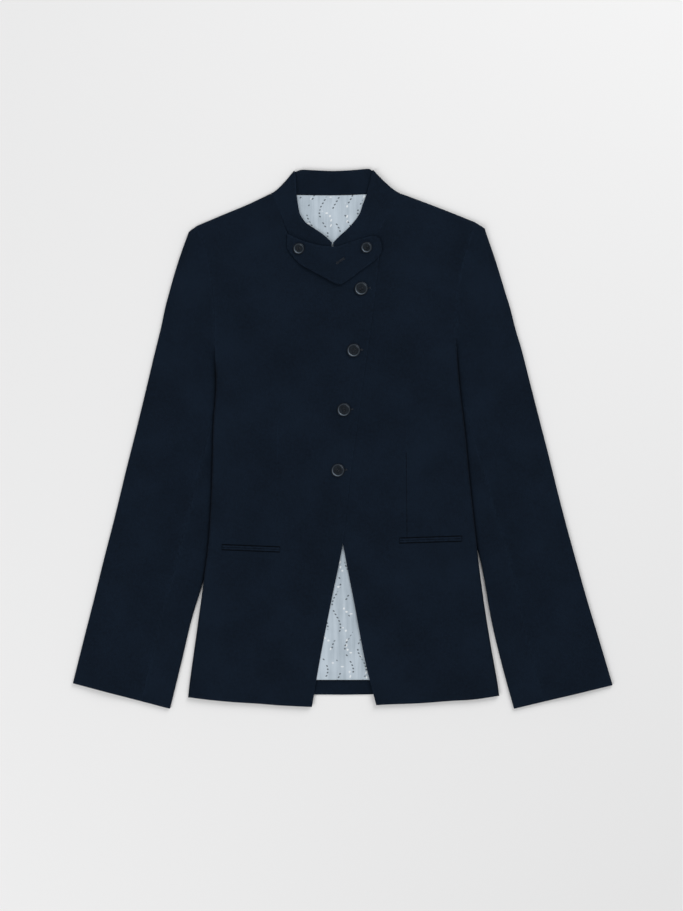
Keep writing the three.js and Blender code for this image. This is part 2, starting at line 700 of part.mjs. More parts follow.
// A round sewn-through button with a raised rim, a dished middle and four holes.
function buttonGeometry(radius) {
  const { thickness, rim, dish, hole, holeAt } = BUTTON;
  const { base, baseRise, shoulder, shoulderDrop, slope } = BUTTON_EDGE;
  const rimInside = radius - shoulder - rim;
  const profile = [
    [0, 0],
    [radius - base, 0],
    [radius, baseRise],
    [radius, thickness - shoulderDrop],
    [radius - shoulder, thickness],
    [rimInside, thickness],
    [rimInside - slope, thickness - dish],
    [0, thickness - dish],
  ].map(([r, z]) => new THREE.Vector2(r, z));
  let button = toSolid(new THREE.LatheGeometry(profile, ROUND.button).rotateX(Math.PI / 2));
  for (const [sx, sy] of [[1, 1], [1, -1], [-1, 1], [-1, -1]]) {
    const drill = new THREE.CylinderGeometry(hole, hole, 4 * thickness, ROUND.hole).rotateX(Math.PI / 2);
    drill.translate(sx * holeAt, sy * holeAt, 0);
    button = button.subtract(toSolid(drill));
  }
  return fromSolid(button);
}

const FINISH = {
  cloth: { color: COLOURS.cloth, roughness: 0.85, metalness: 0 },
  lining: { color: COLOURS.lining, roughness: 0.45, metalness: 0 },
  button: { color: COLOURS.button, roughness: 0.25, metalness: 0 },
};

const blazer = new THREE.Group();

function addPiece(name, geometry, finish) {
  geometry.computeVertexNormals();
  const mesh = new THREE.Mesh(geometry, new THREE.MeshStandardMaterial(FINISH[finish]));
  mesh.name = name;
  blazer.add(mesh);
  return mesh;
}

const flipped = (grid) => grid.map((row) => [...row].reverse());

addPiece('back', backPanel(), 'cloth');
addPiece('back_lining', liningPanel(), 'lining');
addPiece('front_left', frontPanel(LEFT, RIGHT), 'cloth');
addPiece('front_right', frontPanel(RIGHT, LEFT), 'cloth');
addPiece('sleeve_upper_right', clothWall(upperSleeve(RIGHT_SLEEVE, RIGHT), CLOTH), 'cloth');
addPiece('sleeve_under_right', clothWall(underSleeve(RIGHT_SLEEVE, RIGHT), CLOTH), 'cloth');
addPiece('sleeve_upper_left', clothWall(flipped(upperSleeve(LEFT_SLEEVE, LEFT)), CLOTH), 'cloth');
addPiece('sleeve_under_left', clothWall(flipped(underSleeve(LEFT_SLEEVE, LEFT)), CLOTH), 'cloth');
addPiece('collar', collarBand(), 'cloth');
addPiece('throat_tab', throatTab(), 'cloth');
for (const pocket of POCKETS) {
  addPiece(`pocket_jet_upper_${pocket.side.name}`, pocketJet(pocket, 1), 'cloth');
  addPiece(`pocket_jet_lower_${pocket.side.name}`, pocketJet(pocket, -1), 'cloth');
}
for (const button of BUTTONS) {
  const mesh = addPiece(button.name, buttonGeometry(button.radius), 'button');
  const rim = steps(0, 2 * Math.PI, 9).map((a) => RIGHT.height(
    button.x + button.radius * Math.cos(a), button.y + button.radius * Math.sin(a)));
  const surface = button.on === 'tab' ? TAB_LEVEL + TAB / 2 : Math.max(...rim) + CLOTH / 2;
  mesh.position.set(button.x, button.y, surface + SEAM);
}

export default blazer;
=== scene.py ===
"""A stand-collar blazer laid flat on its back, front up, with its cloth, lining, buttons and sewing.

Lengths in the tables are millimetres: x to the wearer's left, y from hem to neck, z up from the surface.
"""

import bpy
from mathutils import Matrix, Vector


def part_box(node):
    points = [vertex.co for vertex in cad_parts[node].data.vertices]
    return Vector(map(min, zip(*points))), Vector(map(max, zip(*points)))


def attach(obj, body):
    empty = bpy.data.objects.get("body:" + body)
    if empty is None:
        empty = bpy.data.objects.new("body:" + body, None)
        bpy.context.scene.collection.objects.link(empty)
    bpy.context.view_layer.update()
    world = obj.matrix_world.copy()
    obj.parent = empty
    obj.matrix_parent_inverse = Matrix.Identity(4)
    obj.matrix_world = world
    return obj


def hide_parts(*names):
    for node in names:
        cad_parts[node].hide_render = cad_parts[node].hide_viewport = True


bl_info = {
    "name": "Blazer laid flat",
    "version": (1, 0, 0),
    "blender": (4, 5, 0),
    "location": "View3D > Sidebar > Blazer",
    "description": "Lays out the panels of a stand-collar blazer and sews its details on",
    "category": "Object",
}

import math
from types import SimpleNamespace

import bmesh
import bpy
import numpy as np
from bpy.props import FloatProperty, FloatVectorProperty, PointerProperty
from mathutils import Vector

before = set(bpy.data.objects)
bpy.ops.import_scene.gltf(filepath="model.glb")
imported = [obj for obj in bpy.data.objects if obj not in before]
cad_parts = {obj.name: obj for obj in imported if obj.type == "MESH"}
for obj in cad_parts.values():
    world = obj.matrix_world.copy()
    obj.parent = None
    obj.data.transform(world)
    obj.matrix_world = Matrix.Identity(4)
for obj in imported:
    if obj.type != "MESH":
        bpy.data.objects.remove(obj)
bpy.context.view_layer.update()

MM = 0.001

# Levels of each layer's middle where nothing lies below the body. BAND_OVER is the collar over the fronts,
# BAND_UNDER the collar behind the neck.
BACK_LEVEL = 0.7
LINING_LEVEL = 2.55
FRONT_LEVEL = 4.4
BAND_OVER = 4.65
BAND_UNDER = 1.4
TAB_LEVEL = 8.55

# The body rises over the sleeves under its sides, and the right front over the left one.
TUCK = SimpleNamespace(rise=4.5, slope=95, margin=6, above=236, full=136, full_below=-190, below=-290)
LAP = SimpleNamespace(rise=2.05, slope=60, margin=8, above=322, full=266, full_below=-146, below=-235)

NECK_BOTTOM = (-13, 231)

RIGHT = SimpleNamespace(
    name="right",
    outward=-1,
    armhole=[(-194, 283), (-182.5, 251), (-176, 220.5), (-172, 190), (-170.5, 159), (-170, 128.5)],
    side=[
        (-168.5, 69), (-172, 19.5), (-174, -59), (-178, -132), (-184.5, -184), (-188.5, -214.5),
        (-196, -267.5), (-203.5, -321), (-206, -344),
    ],
    edge=[(-41, -357), (-30.5, -294.5), (-15, -214.5), (0.5, -136), (12.5, -32.5), (44, 198), (50, 261)],
    hem=[(-206, -344), (-178, -347.5), (-146, -350.5), (-114, -352.5), (-82, -355), (-41, -357)],
    shoulder=[(-194, 283), (-156, 299), (-127, 311), (-94.9, 326.3)],
    neck=[(-90, 318.5), (-82, 296), (-75.5, 277.5), (-66, 264.5), (-51.5, 251), (-33, 239)],
    lap_corner=(40, 262.5),
    tuck=(-184.5, -185.5, 0.25),
)
LEFT = SimpleNamespace(
    name="left",
    outward=1,
    armhole=[(175.5, 288), (164, 251), (156, 220.5), (153, 190), (151.5, 159), (150.5, 128.5)],
    side=[
        (155.5, 69), (162.5, 10), (168, -48.5), (175.5, -117.5), (181, -165.5), (187.5, -214.5),
        (196, -267.5), (205.5, -321), (208.5, -342),
    ],
    edge=[(44.5, -354.5), (29.5, -294.5), (14.5, -214.5), (-0.5, -136), (-35.5, 62.5), (-71, 261)],
    hem=[(208.5, -342), (174.5, -347), (142.5, -349), (102.5, -352), (63, -353.5), (44.5, -354.5)],
    shoulder=[(175.5, 288), (138, 303), (108, 314.5), (75.9, 326.5)],
    neck=[(71, 319.5), (59, 296), (49.5, 277.5), (40, 264.5), (25.5, 251), (7, 239)],
    lap_corner=(-66, 262.5),
    tuck=(184, -165.5, 0.307),
)

# Heights where a row of a front meets its side, and where it meets its front edge.
FRONT_ROWS = [
    (-344, -357), (-321, -326), (-293, -294.5), (-267, -267), (-214.5, -214.5), (-140, -136), (-70, -68),
    (0, -2), (70, 62), (128.5, 115), (159, 141), (190, 169), (220.5, 198), (251, 229), (283, 261),
]

# Rows of a sleeve from cuff to shoulder: its outer and inner ends, how far across the forearm seam lies on
# top and the hindarm seam below, and the height of the top layer.
RIGHT_SLEEVE = [
    (-359.5, -325.5, -230, -359.5, 0.7, 0.3, 3.3),
    (-345, -267.5, -215, -298.5, 0.7, 0.3, 3.3),
    (-330.5, -210.5, -201, -240, 0.7, 0.3, 3.3),
    (-317, -156, -184.5, -185.5, 0.7, 0.3, 3.3),
    (-303, -101.5, -170, -128, 0.7, 0.3, 3.3),
    (-288.5, -41.5, -155.5, -69.5, 0.7, 0.3, 3.3),
    (-273.5, 18, -141.5, -12.5, 0.7, 0.3, 3.3),
    (-259, 78, -128, 41, 0.7, 0.35, 3.3),
    (-249.5, 118, -128.5, 70, 0.83, 0.6, 3.3),
    (-242.5, 146, -139.5, 95.5, 0.95, 0.88, 3.3),
    (-236.5, 174, -170, 128.5, 1, 1, 3.4),
    (-231, 195, -170.5, 159, 1, 1, 3.6),
    (-225, 216.5, -172, 190, 1, 1, 3.9),
    (-218.5, 237.5, -176, 220.5, 1, 1, 4.2),
    (-212, 256.5, -182.5, 251, 1, 1, 4.2),
    (-205, 275, -194, 283, 1, 1, 4.2),
]
LEFT_SLEEVE = [
    (359.5, -328, 228, -359.5, 0.69, 0.3, 3.3),
    (341.5, -267.5, 213, -305, 0.69, 0.3, 3.3),
    (325.5, -214.5, 198.5, -245, 0.69, 0.3, 3.3),
    (303.5, -136, 184, -165.5, 0.69, 0.3, 3.3),
    (289, -81.5, 167, -111, 0.69, 0.3, 3.3),
    (274.5, -23, 149.5, -53.5, 0.69, 0.3, 3.3),
    (261.5, 27.5, 134, -3, 0.69, 0.3, 3.3),
    (249, 76.5, 120.5, 41, 0.7, 0.35, 3.3),
    (238.5, 118, 121, 70, 0.83, 0.6, 3.3),
    (231, 143, 131, 95.5, 0.95, 0.88, 3.3),
    (223, 174, 150.5, 128.5, 1, 1, 3.4),
    (216.5, 195, 151.5, 159, 1, 1, 3.6),
    (210, 216.5, 153, 190, 1, 1, 3.9),
    (203.5, 237.5, 156, 220.5, 1, 1, 4.2),
    (196.5, 258, 164.5, 253, 1, 1, 4.2),
    (189, 279.5, 175.5, 288, 1, 1, 4.2),
]
OPEN_ROW = 10  # from this row up the sleeve opens into the armhole

# The stand collar from its right end round the neck to its left end: neck seam, then free edge.
COLLAR_RIGHT = [
    (-13.3, 231.2, -14.6, 261.5), (-33, 239, -25, 271), (-51.5, 251, -36.5, 279), (-66, 264.5, -48.5, 287),
    (-75.5, 277.5, -54.5, 295), (-82, 296, -58, 303), (-90, 318.5, -61.5, 325),
]
COLLAR_BACK = [
    (-78, 324.5, -55, 358.5), (-62, 325, -36, 357.4), (-23.5, 324.5, -13, 356.5), (8.5, 325, 12, 357.6),
    (31, 326, 26, 358.9), (52, 325.7, 35.2, 359.4),
]
COLLAR_LEFT = [
    (71, 319.5, 32.5, 327), (59, 296, 27, 313), (49.5, 277.5, 23, 301), (40, 264.5, 17.5, 292),
    (25.5, 251, 6, 279), (7, 239, -3, 271), (-12.7, 231.2, -12.5, 261.5),
]
COLLAR_FOLDS = {
    "right": SimpleNamespace(line=(-94.2, 325.3, -63.2, 355.3), out=(-0.707, 0.707)),
    "left": SimpleNamespace(line=(75, 325.6, 38.8, 356.3), out=(0.652, 0.758)),
}
# How deep each fold is hollowed, most near the neck seam, and how much higher the free edge behind the neck
# stands.
COLLAR_BOW = SimpleNamespace(depth=2.5, lean=0.62)
COLLAR_BACK_RISE = 1.6
COLLAR_HEIGHT = 33  # of the band laid flat

BACK_NECK = [
    (-93.7, 324.2), (-78, 323.3), (-62, 324), (-23.5, 323.6), (8.5, 324), (31, 325), (52, 324.5),
    (74.6, 324.5),
]
LINING_SHOULDER = [(-182, 277), (-150, 292), (-115, 307), (-88, 317)]
LINING_SHOULDER_LEFT = [(72, 317), (100, 307.5), (130, 297), (165, 277)]
BACK_HEM = SimpleNamespace(right=-339.5, middle=-341, left=-338.5)
LINING_HEM = -321
LINING_INSET = 6

# The throat tab in slices from its right end to its left end: upper edge, then lower edge.
TAB_SLICES = [
    (-74, 272, -74, 253.5), (-69.5, 270.5, -69, 246), (-54, 263.5, -57, 232.5), (-33, 257.5, -37, 221),
    (-15.5, 255.5, -12, 207.5), (-6.5, 256, -3.5, 205), (3, 259, 3, 208), (23, 265.5, 23, 222.5),
    (39, 269.5, 44, 238), (47.5, 267, 51, 247.5), (50.3, 262, 52.3, 253.5),
]
TAB_CURL = 1.2

POCKETS = {
    "right": SimpleNamespace(start=(-160, -144), end=(-84, -147.3)),
    "left": SimpleNamespace(start=(76, -135.5), end=(157.5, -132.7)),
}
JET = SimpleNamespace(height=2.7, thickness=1.0, clearance=0.49, recess=0.6)
JET_REACH = JET.height + 0.55  # from the pocket's line to the outer edge of the ditch beside a jet

BUTTONS_FRONT = [(24.5, 199.5), (14.5, 117.5), (1.5, 38.5), (-6.5, -42)]
BUTTONS_TAB = {"right": (-58.5, 252.5), "left": (31.5, 254)}

# Waist darts: the end near the waist, the end by the pocket.
DARTS = {
    "left": SimpleNamespace(start=(84.5, 52), end=(85.5, -130)),
    "right": SimpleNamespace(start=(-86, 48), end=(-87.5, -141)),
}

# Soft ridges in the cloth: from one end to the other, half width, height and sideways bend.
BODY_RIDGES = [
    ((-118, 196), (-64, 40), 24, 1.2, 9),
    ((104, 190), (70, 20), 26, 1.2, -8),
    ((-148, 110), (-96, 66), 15, 1.0, 5),
    ((130, 112), (84, 72), 15, 1.0, -5),
    ((-50, -70), (-78, -318), 19, 1.9, 8),
    ((-140, -170), (-158, -345), 15, 1.6, -6),
    ((58, -40), (92, -332), 22, 1.6, -12),
    ((134, -225), (172, -335), 11, 1.9, 5),
    ((-30, 150), (-44, 70), 18, 0.8, 4),
    ((-148, -20), (-128, -110), 16, 0.9, 6),
    ((146, 20), (126, -96), 16, 0.9, -6),
]
SLEEVE_SIZE = SimpleNamespace(across=135, along=640)
# The same on a sleeve: share of the way up it and across it, at each end; half width in mm; height.
SLEEVE_RIDGES = [
    ((0.03, 0.34), (0.42, 0.42), 20, 1.5),
    ((0.40, 0.16), (0.60, 0.52), 13, 1.6),
    ((0.47, 0.58), (0.55, 0.20), 10, 1.3),
    ((0.58, 0.46), (0.93, 0.34), 18, 1.4),
    ((0.05, 0.80), (0.34, 0.88), 12, 1.0),
]
SLEEVE_BEND = 3
SLEEVE_CROWN = SimpleNamespace(height=1.6, share=0.68)  # fullness of the top layer, over its outer share

# How far above the underarm each folded side starts and over what height it turns into a seam, how full the
# side is under the arm, how deep each armhole seam sinks and how dark the painted shade along each dart is.
FOLD_STARTS = {"right": -12, "left": 14}
FOLD_OVER = 34
UNDERARM = SimpleNamespace(fullness=1.5, y=138, reach=20)
ARMHOLE_GROOVE = {"right": 0.08, "left": 0.24}
DART_SHADE = {"right": 0.2, "left": 0.75}
DART_DEPTH = SimpleNamespace(line=0.34, hollow=0.12)

# Drop and radius of each folded edge; depth of the neck seam; half widths of a seam's groove and of the cloth
# pressed beside it.
SIDE_FOLD, SHOULDER_FOLD, SLEEVE_CAP = (2.2, 6.5), (1.9, 6), (1.3, 6)
NECK_GROOVE, SEAM_WIDTH, PRESSED_WIDTH = 0.14, 1.1, 2.2

# The right front's free edge: from which height down it lies free and over what height that comes on, how far
# and over what width it drops, the groove along it, and how much and over what width it is thinner.
LAP_EDGE = SimpleNamespace(
    top=252, over=25, drop=0.5, width=11, groove=(0.55, 2.2), thinner=0.6, thin_width=2.5,
)

WEAVE_UV = "cloth"
CAMERA_PLACE = (-1.66, -22.3)
KEY_PLACE, FILL_PLACE, LAMP_SIZE = (1.35, 2.1, 1.8), (-1.8, -1.7, 2.0), 2.0  # metres

# A buttonhole runs from one point to the other, measured from its button.
BUTTONHOLE = SimpleNamespace(start=(-4, -0.5), end=(11.5, 0.8), width=0.9, thread=0.28)
TAB_HOLE = SimpleNamespace(start=(-7, 233.5), end=(1.2, 239.5), width=1.1, thread=0.34, eyelet=0.7)
BUTTON_TURN = SimpleNamespace(first=17, step=41)  # degrees


def smooth(t):
    """0 to 1 with level ends."""
    c = np.clip(t, 0, 1)
    return c * c * (3 - 2 * c)


def dense(points, count=14):
    """A smooth line through points, of any number of columns."""
    p = np.asarray(points, float)
    before = np.vstack([2 * p[0] - p[1], p[:-1]])
    after = np.vstack([p[1:], 2 * p[-1] - p[-2]])
    tangent = (after - before) / 2
    t = np.linspace(0, 1, count, endpoint=False)[:, None]
    pieces = [
        (2 * t**3 - 3 * t**2 + 1) * p[k]
        + (t**3 - 2 * t**2 + t) * tangent[k]
        + (3 * t**2 - 2 * t**3) * p[k + 1]
        + (t**3 - t**2) * tangent[k + 1]
        for k in range(len(p) - 1)
    ]
    return np.vstack([*pieces, p[-1:]])


def run_length(line):
    """Distance along a line at each of its points."""
    steps = np.linalg.norm(np.diff(line[:, :2], axis=0), axis=1)
    return np.concatenate([[0], np.cumsum(steps)])


def along(line, shares):
    """Points at the given shares of a line's length."""
    run = run_length(line)
    at = np.asarray(shares) * run[-1]
    return np.column_stack([np.interp(at, run, line[:, k]) for k in range(line.shape[1])])


def x_at(line, y):
    """x of a line that climbs steadily, at heights y."""
    order = np.argsort(line[:, 1])
    return np.interp(y, line[order, 1], line[order, 0])


def offset(line, distance):
    """A line moved sideways, to its left when the distance is positive."""
    ahead = np.vstack([line[1:], line[-1:]]) - np.vstack([line[:1], line[:-1]])
    ahead /= np.linalg.norm(ahead, axis=1)[:, None]
    return line + distance * np.column_stack([-ahead[:, 1], ahead[:, 0]])


def spread(length, step, start=(), end=(), bands=()):
    """Distances from 0 to length a step apart, closer together at each end and in bands."""
    places = list(np.linspace(0, length, max(2, round(length / step) + 1)))
    for low, high, fine in bands:
        places = [p for p in places if not low < p < high] + list(np.arange(low, high, fine))
    near = max(start, default=0)
    far = length - max(end, default=0)
    places = [p for p in places if near < p < far]
    return np.unique([*start, *places, *(length - np.asarray(end))])


def patch(bottom, top, left, right, us, vs):
    """A flat grid between four lines, rows from bottom to top and columns from left to right."""
    u, v = us[None, :, None], vs[:, None, None]
    across = left[:, None] * (1 - u) + right[:, None] * u
    climbing = bottom[None] * (1 - v) + top[None] * v
    low = bottom[0] * (1 - u) + bottom[-1] * u
    high = top[0] * (1 - u) + top[-1] * u
    return across + climbing - (low * (1 - v) + high * v)


def span(part, y):
    """1 in the middle of a rise, falling smoothly to 0 at its upper and lower ends."""
    upper = smooth((part.above - y) / (part.above - part.full))
    lower = smooth((y - part.below) / (part.full_below - part.below))
    return upper * lower


def tuck_lift(x, y):
    """How far the sleeves raise the sides of the body."""
    over = []
    for side in (RIGHT, LEFT):
        fold_x, fold_y, slope = side.tuck
        fold = fold_x - side.outward * slope * (y - fold_y)
        past = side.outward * (x - fold) + TUCK.margin
        over.append(smooth(1 + past / TUCK.slope))
    return TUCK.rise * span(TUCK, y) * np.maximum(*over)


def lap_lift(x, y):
    """How far the left front raises the right one."""
    low, high = LEFT.edge[3], LEFT.edge[-1]
    hidden = x_at(np.asarray([low, high], float), np.maximum(y, low[1]))
    return LAP.rise * span(LAP, y) * smooth(1 + (x - hidden + LAP.margin) / LAP.slope)


def ridge(x, y, start, end, half_width, height, bend=0.0):
    """One soft, uneven ridge that fades out at both ends."""
    (ax, ay), (bx, by) = start, end
    length = math.hypot(bx - ax, by - ay)
    ux, uy = (bx - ax) / length, (by - ay) / length
    along_it = ((x - ax) * ux + (y - ay) * uy) / length
    inside = np.clip(along_it, 0, 1)
    aside = (x - ax) * -uy + (y - ay) * ux - bend * np.sin(math.pi * inside)
    wide = half_width * (0.72 + 0.28 * np.sin(3.1 * inside + 0.6))
    lean = np.where(aside > 0, wide * 1.25, wide * 0.8)
    fade = smooth(along_it / 0.3 + 0.25) * smooth((1 - along_it) / 0.3 + 0.25)
    return height * fade * np.exp(-((aside / lean) ** 2))


def from_pocket(pocket, x, y):
    """Height of each point over a pocket's line."""
    (ax, ay), (bx, by) = pocket.start, pocket.end
    return y - (ay + (by - ay) * (x - ax) / (bx - ax))


def quiet(x, y):
    """0 where something is sewn on the fronts and the cloth has to lie still, 1 elsewhere."""
    still = np.ones_like(x)
    for bx, by in BUTTONS_FRONT:
        still = still * smooth((np.hypot(x - bx, y - by) - 12) / 26)
    for pocket in POCKETS.values():
        out = np.maximum(np.maximum(pocket.start[0] - x, x - pocket.end[0]), 0)
        still = still * (0.45 + 0.55 * smooth((np.hypot(out, from_pocket(pocket, x, y)) - 5) / 22))
    under_tab = np.hypot((x + 12) / 70, (y - 240) / 48)
    return still * smooth((under_tab - 0.85) / 0.5)


def body_ripples(x, y):
    """Soft ridges shared by the two fronts, so that the lap keeps its gap."""
    total = np.zeros_like(x)
    for start, end, half_width, height, bend in BODY_RIDGES:
        total = np.maximum(total, ridge(x, y, start, end, half_width, height, bend))
    slow = 0.22 * (1 + np.sin(x / 31 + 1.3 * np.sin(y / 74)) * np.sin(y / 57 + 0.8))
    return (total + slow) * quiet(x, y)


def back_height(x, y):
    return BACK_LEVEL + tuck_lift(x, y)


def lining_height(x, y):
    return LINING_LEVEL + tuck_lift(x, y)


def front_height(side, x, y):
    lap = lap_lift(x, y) if side is RIGHT else 0
    return FRONT_LEVEL + tuck_lift(x, y) + lap + body_ripples(x, y)


def folded_edge(distance, drop, radius):
    """How far a folded edge turns down, at a distance in from it."""
    s = np.clip(1 - distance / radius, 0, 1)
    return drop * (1 - np.sqrt(1 - s * s))


def groove(distance, depth, width):
    return depth * np.exp(-((distance / width) ** 2))


def mesh_object(name, points, faces, material, uv=None, marks=None):
    """A mesh in metres with smooth faces, from points in mm, riding on the root."""
    mesh = bpy.data.meshes.new(name)
    mesh.from_pydata((np.asarray(points) * MM).tolist(), [], [tuple(f) for f in faces])
    mesh.polygons.foreach_set("use_smooth", np.ones(len(mesh.polygons), bool))
    if uv is not None:
        layer = mesh.uv_layers.new(name=WEAVE_UV)
        loops = np.empty(len(mesh.loops), np.int32)
        mesh.loops.foreach_get("vertex_index", loops)
        layer.data.foreach_set("uv", (np.asarray(uv)[loops] * MM).astype(np.float32).ravel())
    for key, values in (marks or {}).items():
        attribute = mesh.attributes.new(key, "FLOAT", "POINT")
        attribute.data.foreach_set("value", np.asarray(values, np.float32))
    mesh.materials.append(material)
    piece = bpy.data.objects.new(name, mesh)
    bpy.context.scene.collection.objects.link(piece)
    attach(piece, "root")
    return piece


def shell(name, grid, thickness, material, uv, seam=None, rim=0.8, closed_rim=0.5, painted_shade=None, thin=1.0):
    """A wall of cloth round a grid of middle points, thinned and rounded along its rim.

    seam marks where the cloth is pressed and worn, the shade mark where shade is painted into its colour, and
    thin scales its thickness.
    """
    rows, columns = grid.shape[:2]
    climb = np.gradient(grid, axis=0)
    run = np.gradient(grid, axis=1)
    normal = np.cross(run, climb)
    normal /= np.maximum(np.linalg.norm(normal, axis=2), 1e-9)[..., None]
    border = border_distance(grid)
    half = thickness / 2 * (1 - (1 - closed_rim) * np.exp(-((border / rim) ** 2))) * thin
    offset_by = normal * half[..., None]
    points = np.vstack([(grid + offset_by).reshape(-1, 3), (grid - offset_by).reshape(-1, 3)])
    index = np.arange(rows * columns).reshape(rows, columns)
    size = rows * columns
    a, b, c, d = index[:-1, :-1], index[:-1, 1:], index[1:, 1:], index[1:, :-1]
    over = np.stack([a, b, c, d], -1).reshape(-1, 4)
    under = np.stack([a, d, c, b], -1).reshape(-1, 4) + size

    def wall(line):
        return np.stack([line[1:], line[:-1], line[:-1] + size, line[1:] + size], -1)

    rims = [wall(index[0]), wall(index[:, -1]), wall(index[-1, ::-1]), wall(index[::-1, 0])]
    faces = np.vstack([over, under, *rims])
    sides = np.tile(np.asarray(uv).reshape(-1, 2), (2, 1))
    near = np.exp(-((border / PRESSED_WIDTH) ** 2))
    if seam is not None:
        near = np.maximum(near, seam)
    shaded = np.zeros_like(border) if painted_shade is None else painted_shade
    # the second mark is painted shade, which darkens the cloth's colour
    marks = {"edge": np.tile(near.ravel(), 2), "painted_shade": np.tile(shaded.ravel(), 2)}
    return mesh_object(name, points, faces.tolist(), material, sides, marks)


def border_distance(grid):
    """Distance of each grid point from the nearest of the grid's four sides."""
    ends = (grid[:1], grid[-1:], grid[:, :1], grid[:, -1:])
    return np.minimum.reduce([np.linalg.norm(grid - e, axis=2) for e in ends])


# How far in from a cut edge, and from a folded one, the first lines of a panel's grid lie.
FINE = (0, 0.35, 0.9, 1.8)
FOLD = (0, 0.12, 0.35, 0.7, 1.2, 1.9, 2.8, 3.9, 5.2, 6.8, 9)


def side_line(side):
    """The armhole and side as one line."""
    return np.vstack([dense(side.armhole)[:-1], dense([side.armhole[-1], *side.side])])


def folded_share(side, y):
    """1 where the side is a fold, 0 along the armhole seam."""
    return smooth((side.armhole[-1][1] + FOLD_STARTS[side.name] - y) / FOLD_OVER)


def dart_groove(side, x, y):
    dart = DARTS[side.name]
    (ax, ay), (bx, by) = dart.start, dart.end
    share = (y - ay) / (by - ay)
    centre = ax + (bx - ax) * share
    fade = smooth(share / 0.35) * smooth((1 - share) / 0.03 + 0.5)
    return fade * np.exp(-(((x - centre) / 0.9) ** 2)), fade * np.exp(-(((x - centre) / 5) ** 2))


def pocket_ditch(side, x, y):
    """1 along the edges of the jets and their ends, where the cloth lies in shade."""
    pocket = POCKETS[side.name]
    inside = smooth((x - pocket.start[0] - 0.5) / 2) * smooth((pocket.end[0] - 0.5 - x) / 2)
    return inside * groove(np.abs(from_pocket(pocket, x, y)) - JET.height - 0.6, 1, 1.0)


def pocket_recess(side, x, y):
    """Where the front dips under the jets, so that each jet is bordered by a ditch."""
    pocket = POCKETS[side.name]
    sunk = smooth((JET_REACH + 0.5 - np.abs(from_pocket(pocket, x, y))) / 0.9)
    return sunk * smooth((x - pocket.start[0] + 2) / 2) * smooth((pocket.end[0] + 2 - x) / 2)


def front_panel(side, other, settings, material):
    out = side.outward
    gap = settings.seam_gap * 1000 / 2
    shoulder = dense(side.shoulder)
    own_neck = offset(dense([*side.neck, NECK_BOTTOM]), out * gap)
    far = [NECK_BOTTOM, *other.neck[::-1][:2], side.lap_corner]
    far_neck = offset(dense(far), out * gap)
    corner = np.asarray([side.edge[-1]], float)
    top_line = np.vstack([shoulder, own_neck, far_neck[1:], corner])
    top_run = run_length(top_line)
    neck_from = run_length(shoulder)[-1] / top_run[-1]
    neck_to = top_run[len(shoulder) + len(own_neck) - 1] / top_run[-1]
    outline = side_line(side)
    edge_line = dense(side.edge)
    bands = dart_columns(side, top_line, outline, edge_line)
    us = spread(top_run[-1], settings.front_step * 1000, FOLD, FINE, bands) / top_run[-1]
    top = along(top_line, us)
    bottom = along(dense(side.hem), us)
    tip_y, hem_y = side.shoulder[0][1], side.hem[0][1]
    pocket = POCKETS[side.name]
    middle = (pocket.start[1] + pocket.end[1]) / 2 - hem_y
    rows = spread(tip_y - hem_y, settings.front_step * 1000, FINE, FOLD, [(middle - 9, middle + 9, 0.4)])
    side_y = hem_y + rows
    table_side, table_edge = np.asarray(FRONT_ROWS, float).T
    table_side[0], table_edge[0] = hem_y, side.edge[0][1]
    edge_y = np.interp(side_y, table_side, table_edge)
    folded = folded_share(side, side_y)
    inset = gap + (0.7 - gap) * folded
    left = np.column_stack([x_at(outline, side_y) - out * inset, side_y])
    right = np.column_stack([x_at(edge_line, edge_y), edge_y])
    left[0], left[-1] = bottom[0], top[0]
    right[0], right[-1] = bottom[-1], top[-1]
    vs = run_length(left) / run_length(left)[-1]
    flat = patch(bottom, top, left, right, us, vs)
    x, y = flat[..., 0], flat[..., 1]
    to_side = np.linalg.norm(flat - flat[:, :1], axis=2)
    to_top = np.linalg.norm(flat - flat[-1:], axis=2)
    to_edge = np.linalg.norm(flat - flat[:, -1:], axis=2)
    on_shoulder = smooth((neck_from - us) / 0.02)[None]
    on_neck = (smooth((us - neck_from) / 0.01) * smooth((neck_to + 0.02 - us) / 0.02))[None]
    side_drop = folded_edge(to_side, *SIDE_FOLD) * folded[:, None]
    shoulder_drop = folded_edge(to_top, *SHOULDER_FOLD) * on_shoulder
    armhole = groove(to_side, ARMHOLE_GROOVE[side.name], SEAM_WIDTH) * (1 - folded[:, None])
    neck_seam = groove(to_top, NECK_GROOVE, SEAM_WIDTH) * on_neck
    line, hollow = dart_groove(side, x, y)
    recess = JET.recess * pocket_recess(side, x, y)
    z = front_height(side, x, y) - np.maximum(side_drop, shoulder_drop)
    z = z - armhole - neck_seam - DART_DEPTH.line * line - DART_DEPTH.hollow * hollow - recess
    lapped = smooth((LAP_EDGE.top - y) / LAP_EDGE.over) if side is RIGHT else np.zeros_like(y)
    edge_drop = LAP_EDGE.drop * smooth((LAP_EDGE.width - to_edge) / LAP_EDGE.width)
    z = z - lapped * (edge_drop + groove(to_edge, *LAP_EDGE.groove))
    thin = 1 - LAP_EDGE.thinner * lapped * groove(to_edge, 1, LAP_EDGE.thin_width)
    thin = thin - 0.35 * pocket_ditch(side, x, y)
    grid = np.dstack([flat, z])
    seam = np.maximum.reduce([
        groove(to_side, 1, PRESSED_WIDTH) * (1 - folded[:, None]),
        groove(to_top, 1, PRESSED_WIDTH) * (on_neck + on_shoulder),
        line,
    ])
    # painted shade along the folded side, where the body stands over the sleeve
    painted_shade = 0.55 * folded[:, None] * groove(to_side, 1, 1.6)
    uv = flat.copy()
    if out > 0:
        grid, uv, seam, painted_shade, thin = (part[:, ::-1] for part in (grid, uv, seam, painted_shade, thin))
    piece = shell(
        f"front_{side.name}_cloth", grid, settings.cloth * 1000, material, uv, seam,
        closed_rim=0.85, painted_shade=painted_shade, thin=thin,
    )
    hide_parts(f"front_{side.name}")
    return piece, uv


